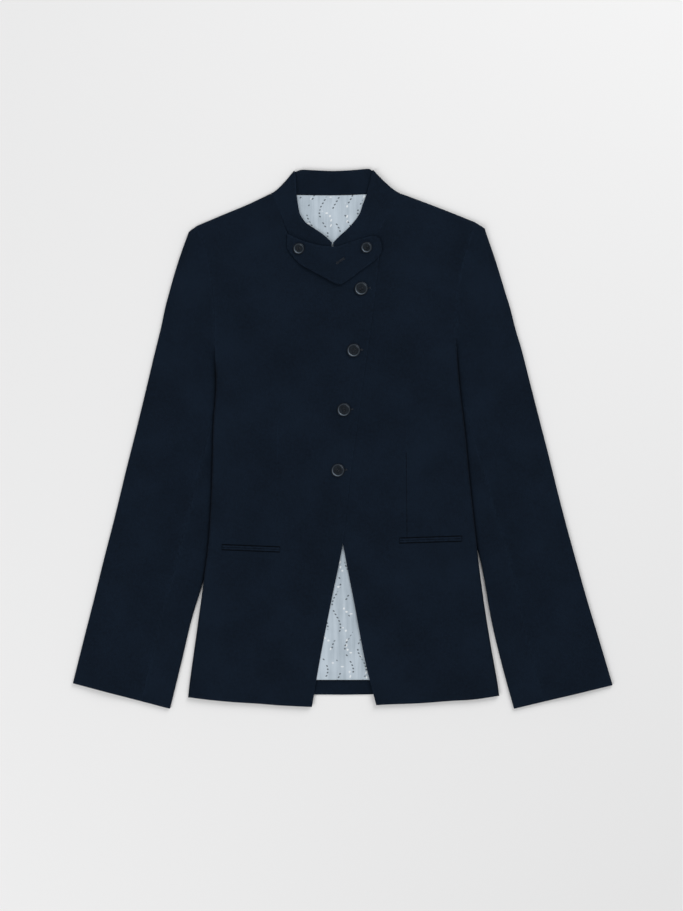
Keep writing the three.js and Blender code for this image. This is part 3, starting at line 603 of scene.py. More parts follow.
def dart_columns(side, top_line, outline, edge_line):
    """The stretch of a front's top edge whose columns pass over the dart, with their spacing."""
    dart = DARTS[side.name]
    length = run_length(top_line)[-1]
    shares = []
    for x, y in (dart.start, dart.end):
        low, high = x_at(outline, y), x_at(edge_line, y)
        shares.append((x - low) / (high - low))
    low, high = min(shares), max(shares)
    return [((low - 0.035) * length, (high + 0.035) * length, 1.1)]


def back_panel(settings, material):
    top_line = np.vstack([
        dense(RIGHT.shoulder[:3]), dense(BACK_NECK), dense(LEFT.shoulder[:3][::-1]),
    ])
    return body_panel(
        "back_cloth", "back", top_line, settings.seam_gap * 500, BACK_HEM, back_height,
        settings.cloth * 1000, settings, material, RIGHT.shoulder[0], LEFT.shoulder[0],
    )


def body_panel(name, node, top_line, inset, hem, height, thickness, settings, material, tip_right, tip_left):
    """A whole-width panel: the back, or its lining."""
    us = spread(run_length(top_line)[-1], settings.back_step * 1000, FINE, FINE) / run_length(top_line)[-1]
    top = along(top_line, us)
    rows = spread(tip_right[1] - hem.right, settings.back_step * 1000, FINE, FINE)
    shares = rows / rows[-1]
    right_y = hem.right + shares * (tip_right[1] - hem.right)
    left_y = hem.left + shares * (tip_left[1] - hem.left)
    left = np.column_stack([x_at(side_line(RIGHT), right_y) + inset - underarm_bulge(right_y), right_y])
    right = np.column_stack([x_at(side_line(LEFT), left_y) - inset + underarm_bulge(left_y), left_y])
    left[-1], right[-1] = top[0], top[-1]
    bottom = along(np.asarray([left[0], (0, hem.middle), right[0]]), us)
    flat = patch(bottom, top, left, right, us, shares)
    x, y = flat[..., 0], flat[..., 1]
    grid = np.dstack([flat, height(x, y)])
    piece = shell(name, grid, thickness, material, flat)
    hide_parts(node)
    return piece, flat


def underarm_bulge(y):
    """The side panel's fullness under the arm, in mm outwards."""
    return UNDERARM.fullness * np.exp(-(((y - UNDERARM.y) / UNDERARM.reach) ** 2))


def lining_panel(settings, material):
    neck = offset(dense(BACK_NECK[1:-1]), 0.3)
    top_line = np.vstack([dense(LINING_SHOULDER), neck, dense(LINING_SHOULDER_LEFT)])
    hem = SimpleNamespace(right=LINING_HEM, middle=LINING_HEM, left=LINING_HEM)
    return body_panel(
        "back_lining_satin", "back_lining", top_line, LINING_INSET, hem, lining_form,
        settings.lining * 1000, settings, material, LINING_SHOULDER[0], LINING_SHOULDER_LEFT[-1],
    )


def lining_form(x, y):
    """The lining's middle, with a loose pleat down the centre and a soft roll above its hem."""
    show = smooth((-140 - y) / 60) * smooth((30 - np.abs(x)) / 26)
    pleat = 0.55 * show * np.exp(-(((x - 4) / 7) ** 2))
    drape = 0.3 * show * (1 + np.sin(x / 5.2 + y / 38))
    hem_roll = 0.25 * np.exp(-(((y - LINING_HEM - 3) / 3) ** 2))
    return lining_height(x, y) + pleat + drape + hem_roll


def sleeve_rows(side, table, settings):
    """Rows of a sleeve close together, from the cuff to the shoulder, the open ones ending at the armhole."""
    line = dense(table, 12)
    opened = line[:, 3] >= side.armhole[-1][1]
    line[opened, 2] = x_at(side_line(side), line[opened, 3])
    run = run_length(line)
    places = spread(run[-1], settings.sleeve_step * 1000, FINE, FOLD)
    return along(line, places / run[-1]), places / run[-1], places


def across_rows(rows, d):
    """Share of the way across each row, and the point there, at distances in from its outer end."""
    out_x, out_y, in_x, in_y = (rows[:, k][:, None] for k in range(4))
    t = d / np.hypot(in_x - out_x, in_y - out_y)
    return t, out_x + (in_x - out_x) * t, out_y + (in_y - out_y) * t


def sleeve_heights(side, rows, shares, d, upper):
    """Top or bottom layer of a flattened sleeve at distances in from its outer edge, one row to a line."""
    t, x, y = across_rows(rows, d)
    seam_y = rows[:, 3][:, None]
    joined = 1 - folded_share(side, seam_y)
    seam_x = x_at(side_line(side), seam_y)
    if not upper:
        rise = back_height(seam_x, seam_y) - BACK_LEVEL
        return x, y, BACK_LEVEL + rise * joined * smooth((t - 0.6) / 0.4)
    top = rows[:, 6][:, None]
    crown = SLEEVE_CROWN.height * np.sin(math.pi * np.minimum(1, t / SLEEVE_CROWN.share)) ** 2
    meet = front_height(side, seam_x, seam_y) - top
    ripples = np.zeros_like(t)
    for (a_up, a_in), (b_up, b_in), half_width, height in SLEEVE_RIDGES:
        start = (a_in * SLEEVE_SIZE.across, a_up * SLEEVE_SIZE.along)
        end = (b_in * SLEEVE_SIZE.across, b_up * SLEEVE_SIZE.along)
        over, up = t * SLEEVE_SIZE.across, shares[:, None] * SLEEVE_SIZE.along
        ripples = np.maximum(ripples, ridge(over, up, start, end, half_width, height, SLEEVE_BEND))
    ripples = ripples * smooth(t / 0.14) * smooth((1 - joined) + 0.35)
    under_body = smooth((side.outward * (x_at(side_line(side), y) + side.outward * 7 - x)) / 7)
    hidden = under_body * smooth((150 - y) / 30)
    z = top + (crown + ripples) * (1 - 0.92 * hidden)
    return x, y, z + meet * joined * smooth((t - 0.35) / 0.65)


def forearm_depth(shares):
    """How deep the forearm seam sinks along the sleeve: it shows most above the cuff."""
    return 0.16 + 0.26 * smooth((0.19 - shares) / 0.06)


def sleeve_shade(side, grid):
    """The shade on a sleeve beside the body that lies over it, deepest at the body's edge."""
    x, y = grid[..., 0], grid[..., 1]
    beside = side.outward * (x - x_at(side_line(side), y))
    lowest = side.side[-1][1]
    over = folded_share(side, y) * smooth((y - lowest) / 30)
    return over * smooth(1 - beside / 3.2)


def sleeve_pieces(side, table, settings, material):
    rows, shares, places = sleeve_rows(side, table, settings)
    thickness = settings.cloth * 1000
    gap = settings.seam_gap * 500
    out_x, out_y, in_x, in_y, fore, hind, top = (rows[:, k][:, None] for k in range(7))
    width = np.hypot(in_x - out_x, in_y - out_y)
    radius = (top - BACK_LEVEL) / 2
    middle = (top + BACK_LEVEL) / 2
    reach = thickness / 2 + radius
    to_end = (places[-1] - places)[:, None]
    cap_drop = folded_edge(to_end, *SLEEVE_CAP)
    ease = np.concatenate([[0, 0.004, 0.010, 0.02], np.linspace(0.04, 1, 40)])[None]
    angles = np.linspace(-math.pi / 2, math.pi / 2, 11)[None]

    def layer(d, upper):
        x, y, z = sleeve_heights(side, rows, shares, d, upper)
        return np.dstack([x, y, z])

    def turn(centre, facing):
        _, x, y = across_rows(rows, centre - facing * radius * np.cos(angles))
        return np.dstack([x, y, middle + radius * np.sin(angles) * np.ones_like(x)])

    # upper sleeve: hindarm seam, underneath, outer fold, top, forearm seam or armhole
    far_low = hind * width - gap
    low_d = far_low + (reach - far_low) * ease
    far_top = fore * width - gap
    top_d = far_top + (reach - far_top) * ease
    low = layer(low_d, False)
    fold = turn(reach, 1)
    high = layer(top_d, True)[:, ::-1]
    seam_drop = groove(far_top - top_d[:, ::-1], 1, SEAM_WIDTH) * forearm_depth(shares)[:, None]
    high[..., 2] -= np.maximum(seam_drop, cap_drop * np.ones_like(seam_drop))
    upper = np.concatenate([low[:, :-1], fold, high[:, 1:]], axis=1)
    upper_uv = unrolled(upper, places)

    # under sleeve: forearm seam on top, inner fold, underneath to the hindarm seam
    shut = int(np.searchsorted(rows[:, 3], table[OPEN_ROW][3]))
    keep = slice(0, max(shut, 2))
    turn_at = width - reach
    near_top = np.minimum(fore * width + gap, turn_at - 1.4)
    near_low = np.minimum(hind * width + gap, turn_at - 1.4)
    share = np.concatenate([[0, 0.01, 0.03, 0.06], np.linspace(0.12, 1, 16)])[None]
    top_in = near_top + (turn_at - near_top) * share
    low_in = near_low + (turn_at - near_low) * share
    high_in = layer(top_in, True)
    high_in[..., 2] -= groove(top_in - near_top, 1, SEAM_WIDTH) * forearm_depth(shares)[:, None]
    low_in_grid = layer(low_in, False)[:, ::-1]
    fold_in = turn(turn_at, -1)[:, ::-1]
    under = np.concatenate([high_in[:, :-1], fold_in, low_in_grid[:, 1:]], axis=1)[keep]
    under_uv = unrolled(under, places[keep])
    made = []
    for word, grid, uv in (("upper", upper, upper_uv), ("under", under, under_uv)):
        # painted shade on the sleeve beside the body's edge that lies over it
        painted_shade = sleeve_shade(side, grid)
        if side.outward > 0:
            grid, uv, painted_shade = grid[:, ::-1], uv[:, ::-1], painted_shade[:, ::-1]
        name = f"sleeve_{word}_{side.name}_cloth"
        piece = shell(name, grid, thickness, material, uv, closed_rim=0.82, painted_shade=painted_shade)
        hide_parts(f"sleeve_{word}_{side.name}")
        made.append(piece)
    return made


def unrolled(grid, places):
    """Flat coordinates of a rolled panel: distance round it, and distance along it."""
    steps = np.linalg.norm(np.diff(grid, axis=1), axis=2)
    around = np.concatenate([np.zeros((len(grid), 1)), np.cumsum(steps, axis=1)], axis=1)
    around -= around[:, -1:] / 2
    return np.dstack([around, np.repeat(places[:, None], grid.shape[1], axis=1)])


def collar_band(settings, material):
    across = np.concatenate([[0, 0.012, 0.03, 0.06], np.linspace(0.1, 0.9, 11), [0.94, 0.97, 0.988, 1]])

    def strip(table, count, low, high):
        line = dense(table, 20)
        rows = along(line, np.linspace(0, 1, count))
        base, top = rows[:, None, :2], rows[:, None, 2:]
        flat = base + (top - base) * across[None, :, None]
        z = low + (high - low) * across[None]
        return np.dstack([flat, np.repeat(z, count, axis=0)])

    def fold(part):
        radius, middle = (BAND_OVER - BAND_UNDER) / 2, (BAND_OVER + BAND_UNDER) / 2
        angles = np.linspace(math.pi / 2, -math.pi / 2, 11)
        base, top = np.asarray(part.line[:2]), np.asarray(part.line[2:])
        flat = base + (top - base) * across[:, None]
        leaning = across**COLLAR_BOW.lean
        hollow = COLLAR_BOW.depth * 4 * leaning * (1 - leaning)
        shift = (radius * np.cos(angles)[:, None] - hollow[None])[..., None] * np.asarray(part.out)
        z = middle + radius * np.sin(angles)[:, None] * np.ones(len(across))[None]
        return np.dstack([flat[None] + shift, z])

    right = strip(COLLAR_RIGHT, 52, BAND_OVER, BAND_OVER)
    back = strip(COLLAR_BACK, 44, BAND_UNDER, BAND_UNDER + COLLAR_BACK_RISE)
    left = strip(COLLAR_LEFT, 52, BAND_OVER, BAND_OVER)
    right_fold, left_fold = fold(COLLAR_FOLDS["right"]), fold(COLLAR_FOLDS["left"])
    grid = np.concatenate([
        right, bridge(right[-1], right_fold[0], 6), right_fold, bridge(right_fold[-1], back[0], 4), back,
        bridge(back[-1], left_fold[-1], 4), left_fold[::-1], bridge(left_fold[0], left[0], 6), left,
    ])
    grid = relaxed(grid, 2)
    base_drop = groove(across * 30, 0.14, 1.2)[None]
    grid[..., 2] -= base_drop
    uv = np.dstack([
        np.repeat(run_length(grid[:, 0])[:, None], len(across), axis=1),
        np.repeat(across[None] * COLLAR_HEIGHT, len(grid), axis=0),
    ])
    piece = shell("collar_cloth", grid, settings.band * 1000, material, uv, rim=0.9, closed_rim=0.75)
    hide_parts("collar")
    return piece


def bridge(a, b, count):
    """Rows between two rows, without them."""
    t = np.linspace(0, 1, count + 2)[1:-1, None, None]
    return a[None] * (1 - t) + b[None] * t


def relaxed(grid, times):
    """A grid with its rows evened out between its first and its last."""
    grid = grid.copy()
    for _ in range(times):
        grid[1:-1] = (grid[:-2] + 2 * grid[1:-1] + grid[2:]) / 4
    return grid


def tab_point(columns, t):
    return columns[:, None, 2:] * (1 - t[None, :, None]) + columns[:, None, :2] * t[None, :, None]


def throat_tab(settings, material):
    across = np.concatenate([[0, 0.01, 0.025, 0.05], np.linspace(0.09, 0.91, 15), [0.95, 0.975, 0.99, 1]])
    line = dense(TAB_SLICES, 20)
    places = spread(run_length(line)[-1], 2.2, FINE, FINE)
    columns = along(line, places / places[-1])
    flat = tab_point(columns, across)
    x, y = flat[..., 0], flat[..., 1]
    lift = TAB_CURL * smooth(1 - across / 0.4)[None] * smooth((x + 66) / 22) * smooth((48 - x) / 22)
    held = sum(np.exp(-((np.hypot(x - bx, y - by) / 13) ** 2)) for bx, by in BUTTONS_TAB.values())
    belly = 0.5 * np.exp(-(((x + 12) / 26) ** 2)) * smooth((1 - np.abs(2 * across - 1)) * 1.6)[None]
    z = TAB_LEVEL + lift * (1 - 0.9 * np.clip(held, 0, 1)) + belly
    tight = smooth((across - 0.72) / 0.28)[None] * (0.35 + 0.65 * smooth((x + 30) / 40))
    tight = np.maximum(tight, smooth((x - 36) / 16) * smooth((across - 0.3) / 0.4)[None])
    z = z - 0.85 * tight - 0.8 * smooth((across - 0.62) / 0.38)[None] * np.exp(-(((x + 14) / 26) ** 2))
    grid = np.dstack([flat, z]).transpose(1, 0, 2)
    uv = flat.transpose(1, 0, 2)
    piece = shell("throat_tab_cloth", grid, settings.tab * 1000, material, uv, rim=0.9)
    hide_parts("throat_tab")
    return piece, uv


def pocket_jets(side, settings, material):
    """Two narrow rolled strips whose folds meet at the pocket mouth."""
    pocket = POCKETS[side.name]
    start, end = np.asarray(pocket.start, float), np.asarray(pocket.end, float)
    made = []
    for word, way in (("upper", 1), ("lower", -1)):
        share = spread(1, 1 / 44, (0, 0.004, 0.01), (0, 0.004, 0.01))
        line = start + (end - start) * share[:, None]
        near, far = 0.07, JET.height + 0.17
        across = np.concatenate([[0, 0.05, 0.12], np.linspace(0.2, 0.8, 5), [0.88, 0.95, 1]])
        rise = near + (far - near) * across
        if way < 0:
            rise = -rise[::-1]
            across = across[::-1]
        x = np.repeat(line[:, 0][None], len(rise), axis=0)
        y = line[:, 1][None] + rise[:, None]
        level = front_height(side, x, y) + settings.cloth * 500
        level = level + JET.clearance + JET.thickness / 2 - JET.recess
        roll = folded_edge((1 - across) * JET.height, 0.34, 1.1)[:, None]
        z = level - roll + 0.1 * np.sin(math.pi * across)[:, None]
        grid = np.dstack([x, y, z])
        name = f"pocket_jet_{word}_{side.name}_cloth"
        piece = shell(name, grid, JET.thickness, material, grid[..., :2], rim=0.35)
        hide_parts(f"pocket_jet_{word}_{side.name}")
        made.append(piece)
    return made


def deselect():
    bpy.ops.object.select_all(action="DESELECT")


def keep_mesh(piece):
    """Puts an object's place into its mesh."""
    deselect()
    piece.select_set(True)
    bpy.context.view_layer.objects.active = piece
    bpy.ops.object.transform_apply(location=True, rotation=True, scale=True)


def apply_all(piece):
    bpy.context.view_layer.objects.active = piece
    for modifier in list(piece.modifiers):
        bpy.ops.object.modifier_apply(modifier=modifier.name)


def faces_where(piece, test):
    """Selects in edit mode the faces whose middle and normal pass a test."""
    bm = bmesh.from_edit_mesh(piece.data)
    for face in bm.faces:
        face.select_set(bool(test(face.calc_center_median(), face.normal)))
    bmesh.update_edit_mesh(piece.data)


def turned_button(name, radius, sizes, material):
    """A button in metres at the origin: a disc with a rolled rim, a dished middle and four holes."""
    deselect()
    height = sizes.thickness
    bpy.ops.mesh.primitive_cylinder_add(vertices=64, radius=radius, depth=height, location=(0, 0, height / 2))
    button = bpy.context.object
    button.name = name
    bpy.ops.object.mode_set(mode="EDIT")
    bpy.ops.mesh.select_mode(type="FACE")
    faces_where(button, lambda c, n: n.z > 0.9)
    for inwards, upwards in ((0.42, 0), (0.58, 0), (0.45, -1), (0.9, -0.12), (1.1, 0.16)):
        bpy.ops.mesh.inset(thickness=sizes.rim * inwards)
        if upwards:
            bpy.ops.transform.translate(value=(0, 0, sizes.dish * upwards))
    bpy.ops.object.mode_set(mode="OBJECT")
    bevel = button.modifiers.new("worn edges", "BEVEL")
    bevel.width = sizes.rim * 0.34
    bevel.segments = 4
    bevel.limit_method = "ANGLE"
    bevel.angle_limit = math.radians(28)
    apply_all(button)
    drills = []
    for sx in (-1, 1):
        for sy in (-1, 1):
            deselect()
            bpy.ops.mesh.primitive_cylinder_add(
                vertices=20, radius=sizes.hole, depth=height * 3,
                location=(sx * sizes.hole_at, sy * sizes.hole_at, height / 2),
            )
            drills.append(bpy.context.object)
    for drill in drills:
        cut = button.modifiers.new("hole", "BOOLEAN")
        cut.operation = "DIFFERENCE"
        cut.object = drill
        cut.solver = "EXACT"
    apply_all(button)
    for drill in drills:
        bpy.data.objects.remove(drill, do_unlink=True)
    deselect()
    button.select_set(True)
    bpy.context.view_layer.objects.active = button
    bpy.ops.object.shade_smooth_by_angle(angle=math.radians(38))
    button.data.materials.clear()
    button.data.materials.append(material)
    return button


def paint_rim_highlight(button, centre, radius, sizes):
    """Marks a painted highlight on a button's raised rim, most on its outer edge at the upper right and
    inside its lower left, where the key light would shine on it.
    """
    rim = button.data.attributes.new("rim", "FLOAT", "POINT")
    top = centre.z + sizes.thickness * 0.75
    for mark, vertex in zip(rim.data, button.data.vertices):
        away = (vertex.co - centre).xy
        outer = math.exp(-(((away.length - radius + sizes.rim * 0.35) / (sizes.rim * 0.34)) ** 2))
        inner = math.exp(-(((away.length - radius + sizes.rim * 1.05) / (sizes.rim * 0.30)) ** 2))
        facing = away.normalized().dot(Vector((0.55, 0.83))) if away.length else 0
        lit = outer * (0.30 + 0.70 * max(0, facing) ** 1.5) + inner * (0.15 + 0.75 * max(0, -facing) ** 1.5)
        mark.value = min(1, lit) if vertex.co.z > top or inner > outer else 0


def tube_faces(base, rings, sides):
    """Faces of a closed tube whose points start at base, ring after ring."""
    faces = []
    for r in range(rings - 1):
        for k in range(sides):
            a, b = base + r * sides + k, base + r * sides + (k + 1) % sides
            faces.append((a, b, b + sides, a + sides))
    faces.append(tuple(base + k for k in range(sides))[::-1])
    faces.append(tuple(base + (rings - 1) * sides + k for k in range(sides)))
    return faces


def thread_object(name, points, faces, material):
    """A mesh from points in mm, with its faces turned outwards."""
    piece = mesh_object(name, points, faces, material)
    bm = bmesh.new()
    bm.from_mesh(piece.data)
    bmesh.ops.recalc_face_normals(bm, faces=bm.faces)
    bm.to_mesh(piece.data)
    bm.free()
    return piece


def thread_bar(name, start, end, radius, rise, material, strands=3):
    """A few strands of thread side by side, arched from one hole to the next, in metres."""
    start, end = Vector(start), Vector(end)
    ahead = (end - start).normalized()
    aside = ahead.cross(Vector((0, 0, 1))).normalized()
    points, faces = [], []
    rings, sides = 14, 8
    for s in range(strands):
        offset_s = (s - (strands - 1) / 2) * radius * 1.55
        base = len(points)
        for r in range(rings):
            t = r / (rings - 1)
            arch = rise * math.sin(math.pi * t) ** 0.6 - rise * 1.2 * (abs(2 * t - 1) ** 6)
            centre = start.lerp(end, t) + aside * offset_s + Vector((0, 0, arch))
            for k in range(sides):
                a = 2 * math.pi * k / sides
                points.append(centre + radius * (math.cos(a) * aside + math.sin(a) * Vector((0, 0, 1))))
        faces += tube_faces(base, rings, sides)
    return thread_object(name, np.asarray([p[:] for p in points]) / MM, faces, material)


def join(name, pieces):
    """Several pieces made one object."""
    deselect()
    for piece in pieces:
        piece.select_set(True)
    bpy.context.view_layer.objects.active = pieces[0]
    bpy.ops.object.join()
    pieces[0].name = name
    pieces[0].data.name = name
    return pieces[0]


def stitched_slit(name, start, end, height_at, width, thread, material, eyelet=0.0):
    """A worked buttonhole: close stitches round a slit, in mm, lying on the cloth."""
    start, end = np.asarray(start, float), np.asarray(end, float)
    length = np.linalg.norm(end - start)
    ahead = (end - start) / length
    aside = np.asarray([-ahead[1], ahead[0]])
    loops = []
    rings, sides, end_stitches = 6, 6, 7
    count = int(length / (thread * 1.25))
    for way in (1, -1):
        for k in range(count):
            loops.append((start + ahead * (k + 0.5) * length / count, aside * way))
    for k in range(end_stitches):
        a = math.pi * (k + 0.5) / end_stitches
        for centre, face in ((end, 1), (start, -1)):
            radial = math.cos(a) * aside + math.sin(a) * ahead * face
            loops.append((centre, radial))
    points, faces = [], []
    for centre, radial in loops:
        tangent = np.asarray([-radial[1], radial[0]])
        inner = centre + radial * (0.18 + eyelet * (np.linalg.norm(centre - start) < 0.01))
        outer = inner + radial * width
        base = len(points)
        for t in np.linspace(0, 1, rings):
            middle = inner + (outer - inner) * t
            lift = thread * (0.55 + 0.75 * math.sin(math.pi * t) ** 0.7)
            for k in range(sides):
                a = 2 * math.pi * k / sides
                flat = middle + tangent * math.cos(a) * thread / 2
                points.append((*flat, height_at(*middle) + lift + math.sin(a) * thread / 2))
        faces += tube_faces(base, rings, sides)
    piece = thread_object(name, points, faces, material)
    return piece


class Value:
    """A node socket that takes part in plain arithmetic."""

    def __init__(self, shader, socket):
        self.shader = shader
        self.socket = socket

    def do(self, operation, *others, first=None):
        inputs = [self, *others] if first is None else [first, self]
        node = self.shader.node("ShaderNodeMath", {"operation": operation}, dict(enumerate(inputs)))
        return node[0]

    def __add__(self, other):
        return self.do("ADD", other)

    def __sub__(self, other):
        return self.do("SUBTRACT", other)

    def __rsub__(self, other):
        return self.do("SUBTRACT", first=other)

    def __mul__(self, other):
        return self.do("MULTIPLY", other)

    def __truediv__(self, other):
        return self.do("DIVIDE", other)

    def __lt__(self, other):
        return self.do("LESS_THAN", other)

    def __gt__(self, other):
        return self.do("GREATER_THAN", other)

    __radd__ = __add__
    __rmul__ = __mul__


class Shader:
    """The node tree of one material."""

    def __init__(self, name):
        self.material = bpy.data.materials.new(name)
        self.material.use_nodes = True
        self.tree = self.material.node_tree
        self.tree.nodes.clear()

    def node(self, kind, settings=None, inputs=None):
        """Adds a node, sets it up, fills or links its sockets, and returns its outputs in order."""
        node = self.tree.nodes.new(kind)
        settings = dict(settings or {})
        stops = settings.pop("stops", None)
        for key, value in settings.items():
            setattr(node, key, value)
        if stops:
            ramp = node.color_ramp
            while len(ramp.elements) < len(stops):
                ramp.elements.new(0.5)
            for element, (place, colour) in zip(ramp.elements, stops):
                element.position = place
                element.color = colour
        for key, value in (inputs or {}).items():
            if isinstance(value, Value):
                self.tree.links.new(value.socket, node.inputs[key])
            else:
                node.inputs[key].default_value = value
        return [Value(self, socket) for socket in node.outputs]

    def split(self, vector):
        return self.node("ShaderNodeSeparateXYZ", inputs={0: vector})

    def uv(self):
        return self.node("ShaderNodeUVMap", {"uv_map": WEAVE_UV})[0]

    def place(self):
        return self.node("ShaderNodeTexCoord")[3]

    def noise(self, vector, scale, detail=2.0, roughness=0.5, stretch=(1, 1, 1)):
        mapped = self.node("ShaderNodeMapping", inputs={0: vector, "Scale": stretch})[0]
        return self.node(
            "ShaderNodeTexNoise", inputs={0: mapped, "Scale": scale, "Detail": detail, "Roughness": roughness}
        )[0]

    def ease(self, value, low, high, start=0.0, end=1.0):
        return self.node(
            "ShaderNodeMapRange", {"interpolation_type": "SMOOTHSTEP"},
            {0: value, 1: low, 2: high, 3: start, 4: end},
        )[0]

    def blend(self, share, a, b, mode="MIX"):
        out = self.node("ShaderNodeMix", {"data_type": "RGBA", "blend_type": mode}, {0: share, 6: a, 7: b})
        return out[2]

    def attribute(self, name):
        return self.node("ShaderNodeAttribute", {"attribute_name": name})[2]

    def near_line(self, u, v, start, end, reach):
        """1 on a straight line between two points given in mm, falling to 0 at a distance."""
        (ax, ay), (bx, by) = [(x * MM, y * MM) for x, y in (start, end)]
        length = math.hypot(bx - ax, by - ay)
        ux, uy = (bx - ax) / length, (by - ay) / length
        ahead = (u - ax) * ux + (v - ay) * uy
        aside = (v - ay) * ux - (u - ax) * uy
        beyond = (ahead * -1).do("MAXIMUM", ahead - length).do("MAXIMUM", 0)
        away = (aside * aside + beyond * beyond).do("SQRT")
        return self.ease(away, reach * 0.15, reach, 1.0, 0.0)

    def bump(self, height, distance, strength, normal=None):
        inputs = {"Strength": strength, "Distance": distance, "Height": height}
        if normal is not None:
            inputs["Normal"] = normal
        return self.node("ShaderNodeBump", inputs=inputs)[0]

    def finish(self, **sockets):
        names = {key: key.replace("_", " ").title().replace("Ior", "IOR") for key in sockets}
        bsdf = self.node("ShaderNodeBsdfPrincipled", inputs={names[k]: v for k, v in sockets.items()})
        self.node("ShaderNodeOutputMaterial", inputs={0: bsdf[0]})
        return self.material


def rgba(colour):
    return (*colour, 1.0)


def scaled(colour, share):
    return rgba([c * share for c in colour])


def shaded_lines():
    """Lines in shade on the fronts: start, end, half width and depth of the shade, in mm."""
    lines = []
    for pocket in POCKETS.values():
        for way in (1, -1):
            ends = [(x, y + way * JET_REACH) for x, y in (pocket.start, pocket.end)]
            lines.append((*ends, 1.5, 1.0))
        lines.append((pocket.start, pocket.end, 0.8, 0.75))
    for word, dart in DARTS.items():
        start = (dart.start[0], dart.start[1] - 70)
        lines.append((start, dart.end, 1.1, DART_SHADE[word]))
    return lines


def wool(name, look, lines=()):
    """Fine worsted twill: threads, a faint slub, a little lint, worn edges and painted shade along the folded
    sides, the pocket jets and the darts.
    """
    s = Shader(name)
    flat = s.uv()
    u, v, _ = s.split(flat)
    pitch = look.thread_pitch
    warp, weft = u / pitch, v / pitch
    warp_in, weft_in = warp.do("FRACT"), weft.do("FRACT")
    diagonal = ((warp.do("FLOOR") + weft.do("FLOOR")) * 0.25).do("FRACT")
    over = diagonal < 0.5
    warp_round = 1 - (warp_in - 0.5).do("ABSOLUTE") * 1.6
    weft_round = 1 - (weft_in - 0.5).do("ABSOLUTE") * 1.6
    threads = over * warp_round + (1 - over) * weft_round * 0.82
    slub = s.noise(flat, 900, 3, 0.6, (1, 0.16, 1))
    cross_slub = s.noise(flat, 900, 2, 0.6, (0.16, 1, 1))
    cloud = s.noise(flat, 14, 4, 0.55)
    crepe = s.noise(flat, 260, 3, 0.6)
    lint = s.noise(flat, 1500, 2, 0.7)
    edge = s.attribute("edge")
    dark = scaled(look.cloth_colour, 0.42)
    plain = rgba(look.cloth_colour)
    light = scaled(look.cloth_colour, 1.9)
    tone = s.ease(cloud * 0.5 + slub * 0.3 + cross_slub * 0.2, 0.36, 0.64)
    colour = s.blend(tone, dark, light)
    colour = s.blend(0.35, colour, plain)
    colour = s.blend(s.ease(crepe, 0.3, 0.7, 0.0, 0.35), colour, light)
    colour = s.blend(s.ease(threads, 0.2, 0.9, 0.1, 0.85), dark, colour)
    colour = s.blend(s.ease(threads, 0.15, 0.75), dark, colour)
    colour = s.blend(s.ease(lint, 0.72, 0.82, 0.0, 0.35), colour, rgba(look.lint_colour))
    # painted shade: the shade mark and the shaded lines darken the colour at the folded sides, beside the
    # pocket jets and along the darts
    shade = s.attribute("painted_shade") * 0.86
    for start, end, reach, depth in lines:
        shade = shade.do("MAXIMUM", s.near_line(u, v, start, end, reach * MM) * depth)
    colour = s.blend(shade, colour, scaled(look.cloth_colour, 0.08))
    worn = edge * s.ease(crepe, 0.35, 0.7)
    colour = s.blend(worn * 0.22, colour, light)
    height = threads * 0.7 + slub * 0.5 + cross_slub * 0.35
    weave = s.bump(height, look.thread_pitch * 0.45, 0.75)
    surface = s.bump(crepe * 0.6 + cloud * 0.5, 0.0006, 0.3, weave)
    rough = 0.8 + slub * 0.16 - worn * 0.06
    return s.finish(
        base_color=colour, roughness=rough, normal=surface, specular_ior_level=look.cloth_specular,
        sheen_weight=look.cloth_sheen, sheen_roughness=0.45, sheen_tint=rgba(look.sheen_colour),
    )


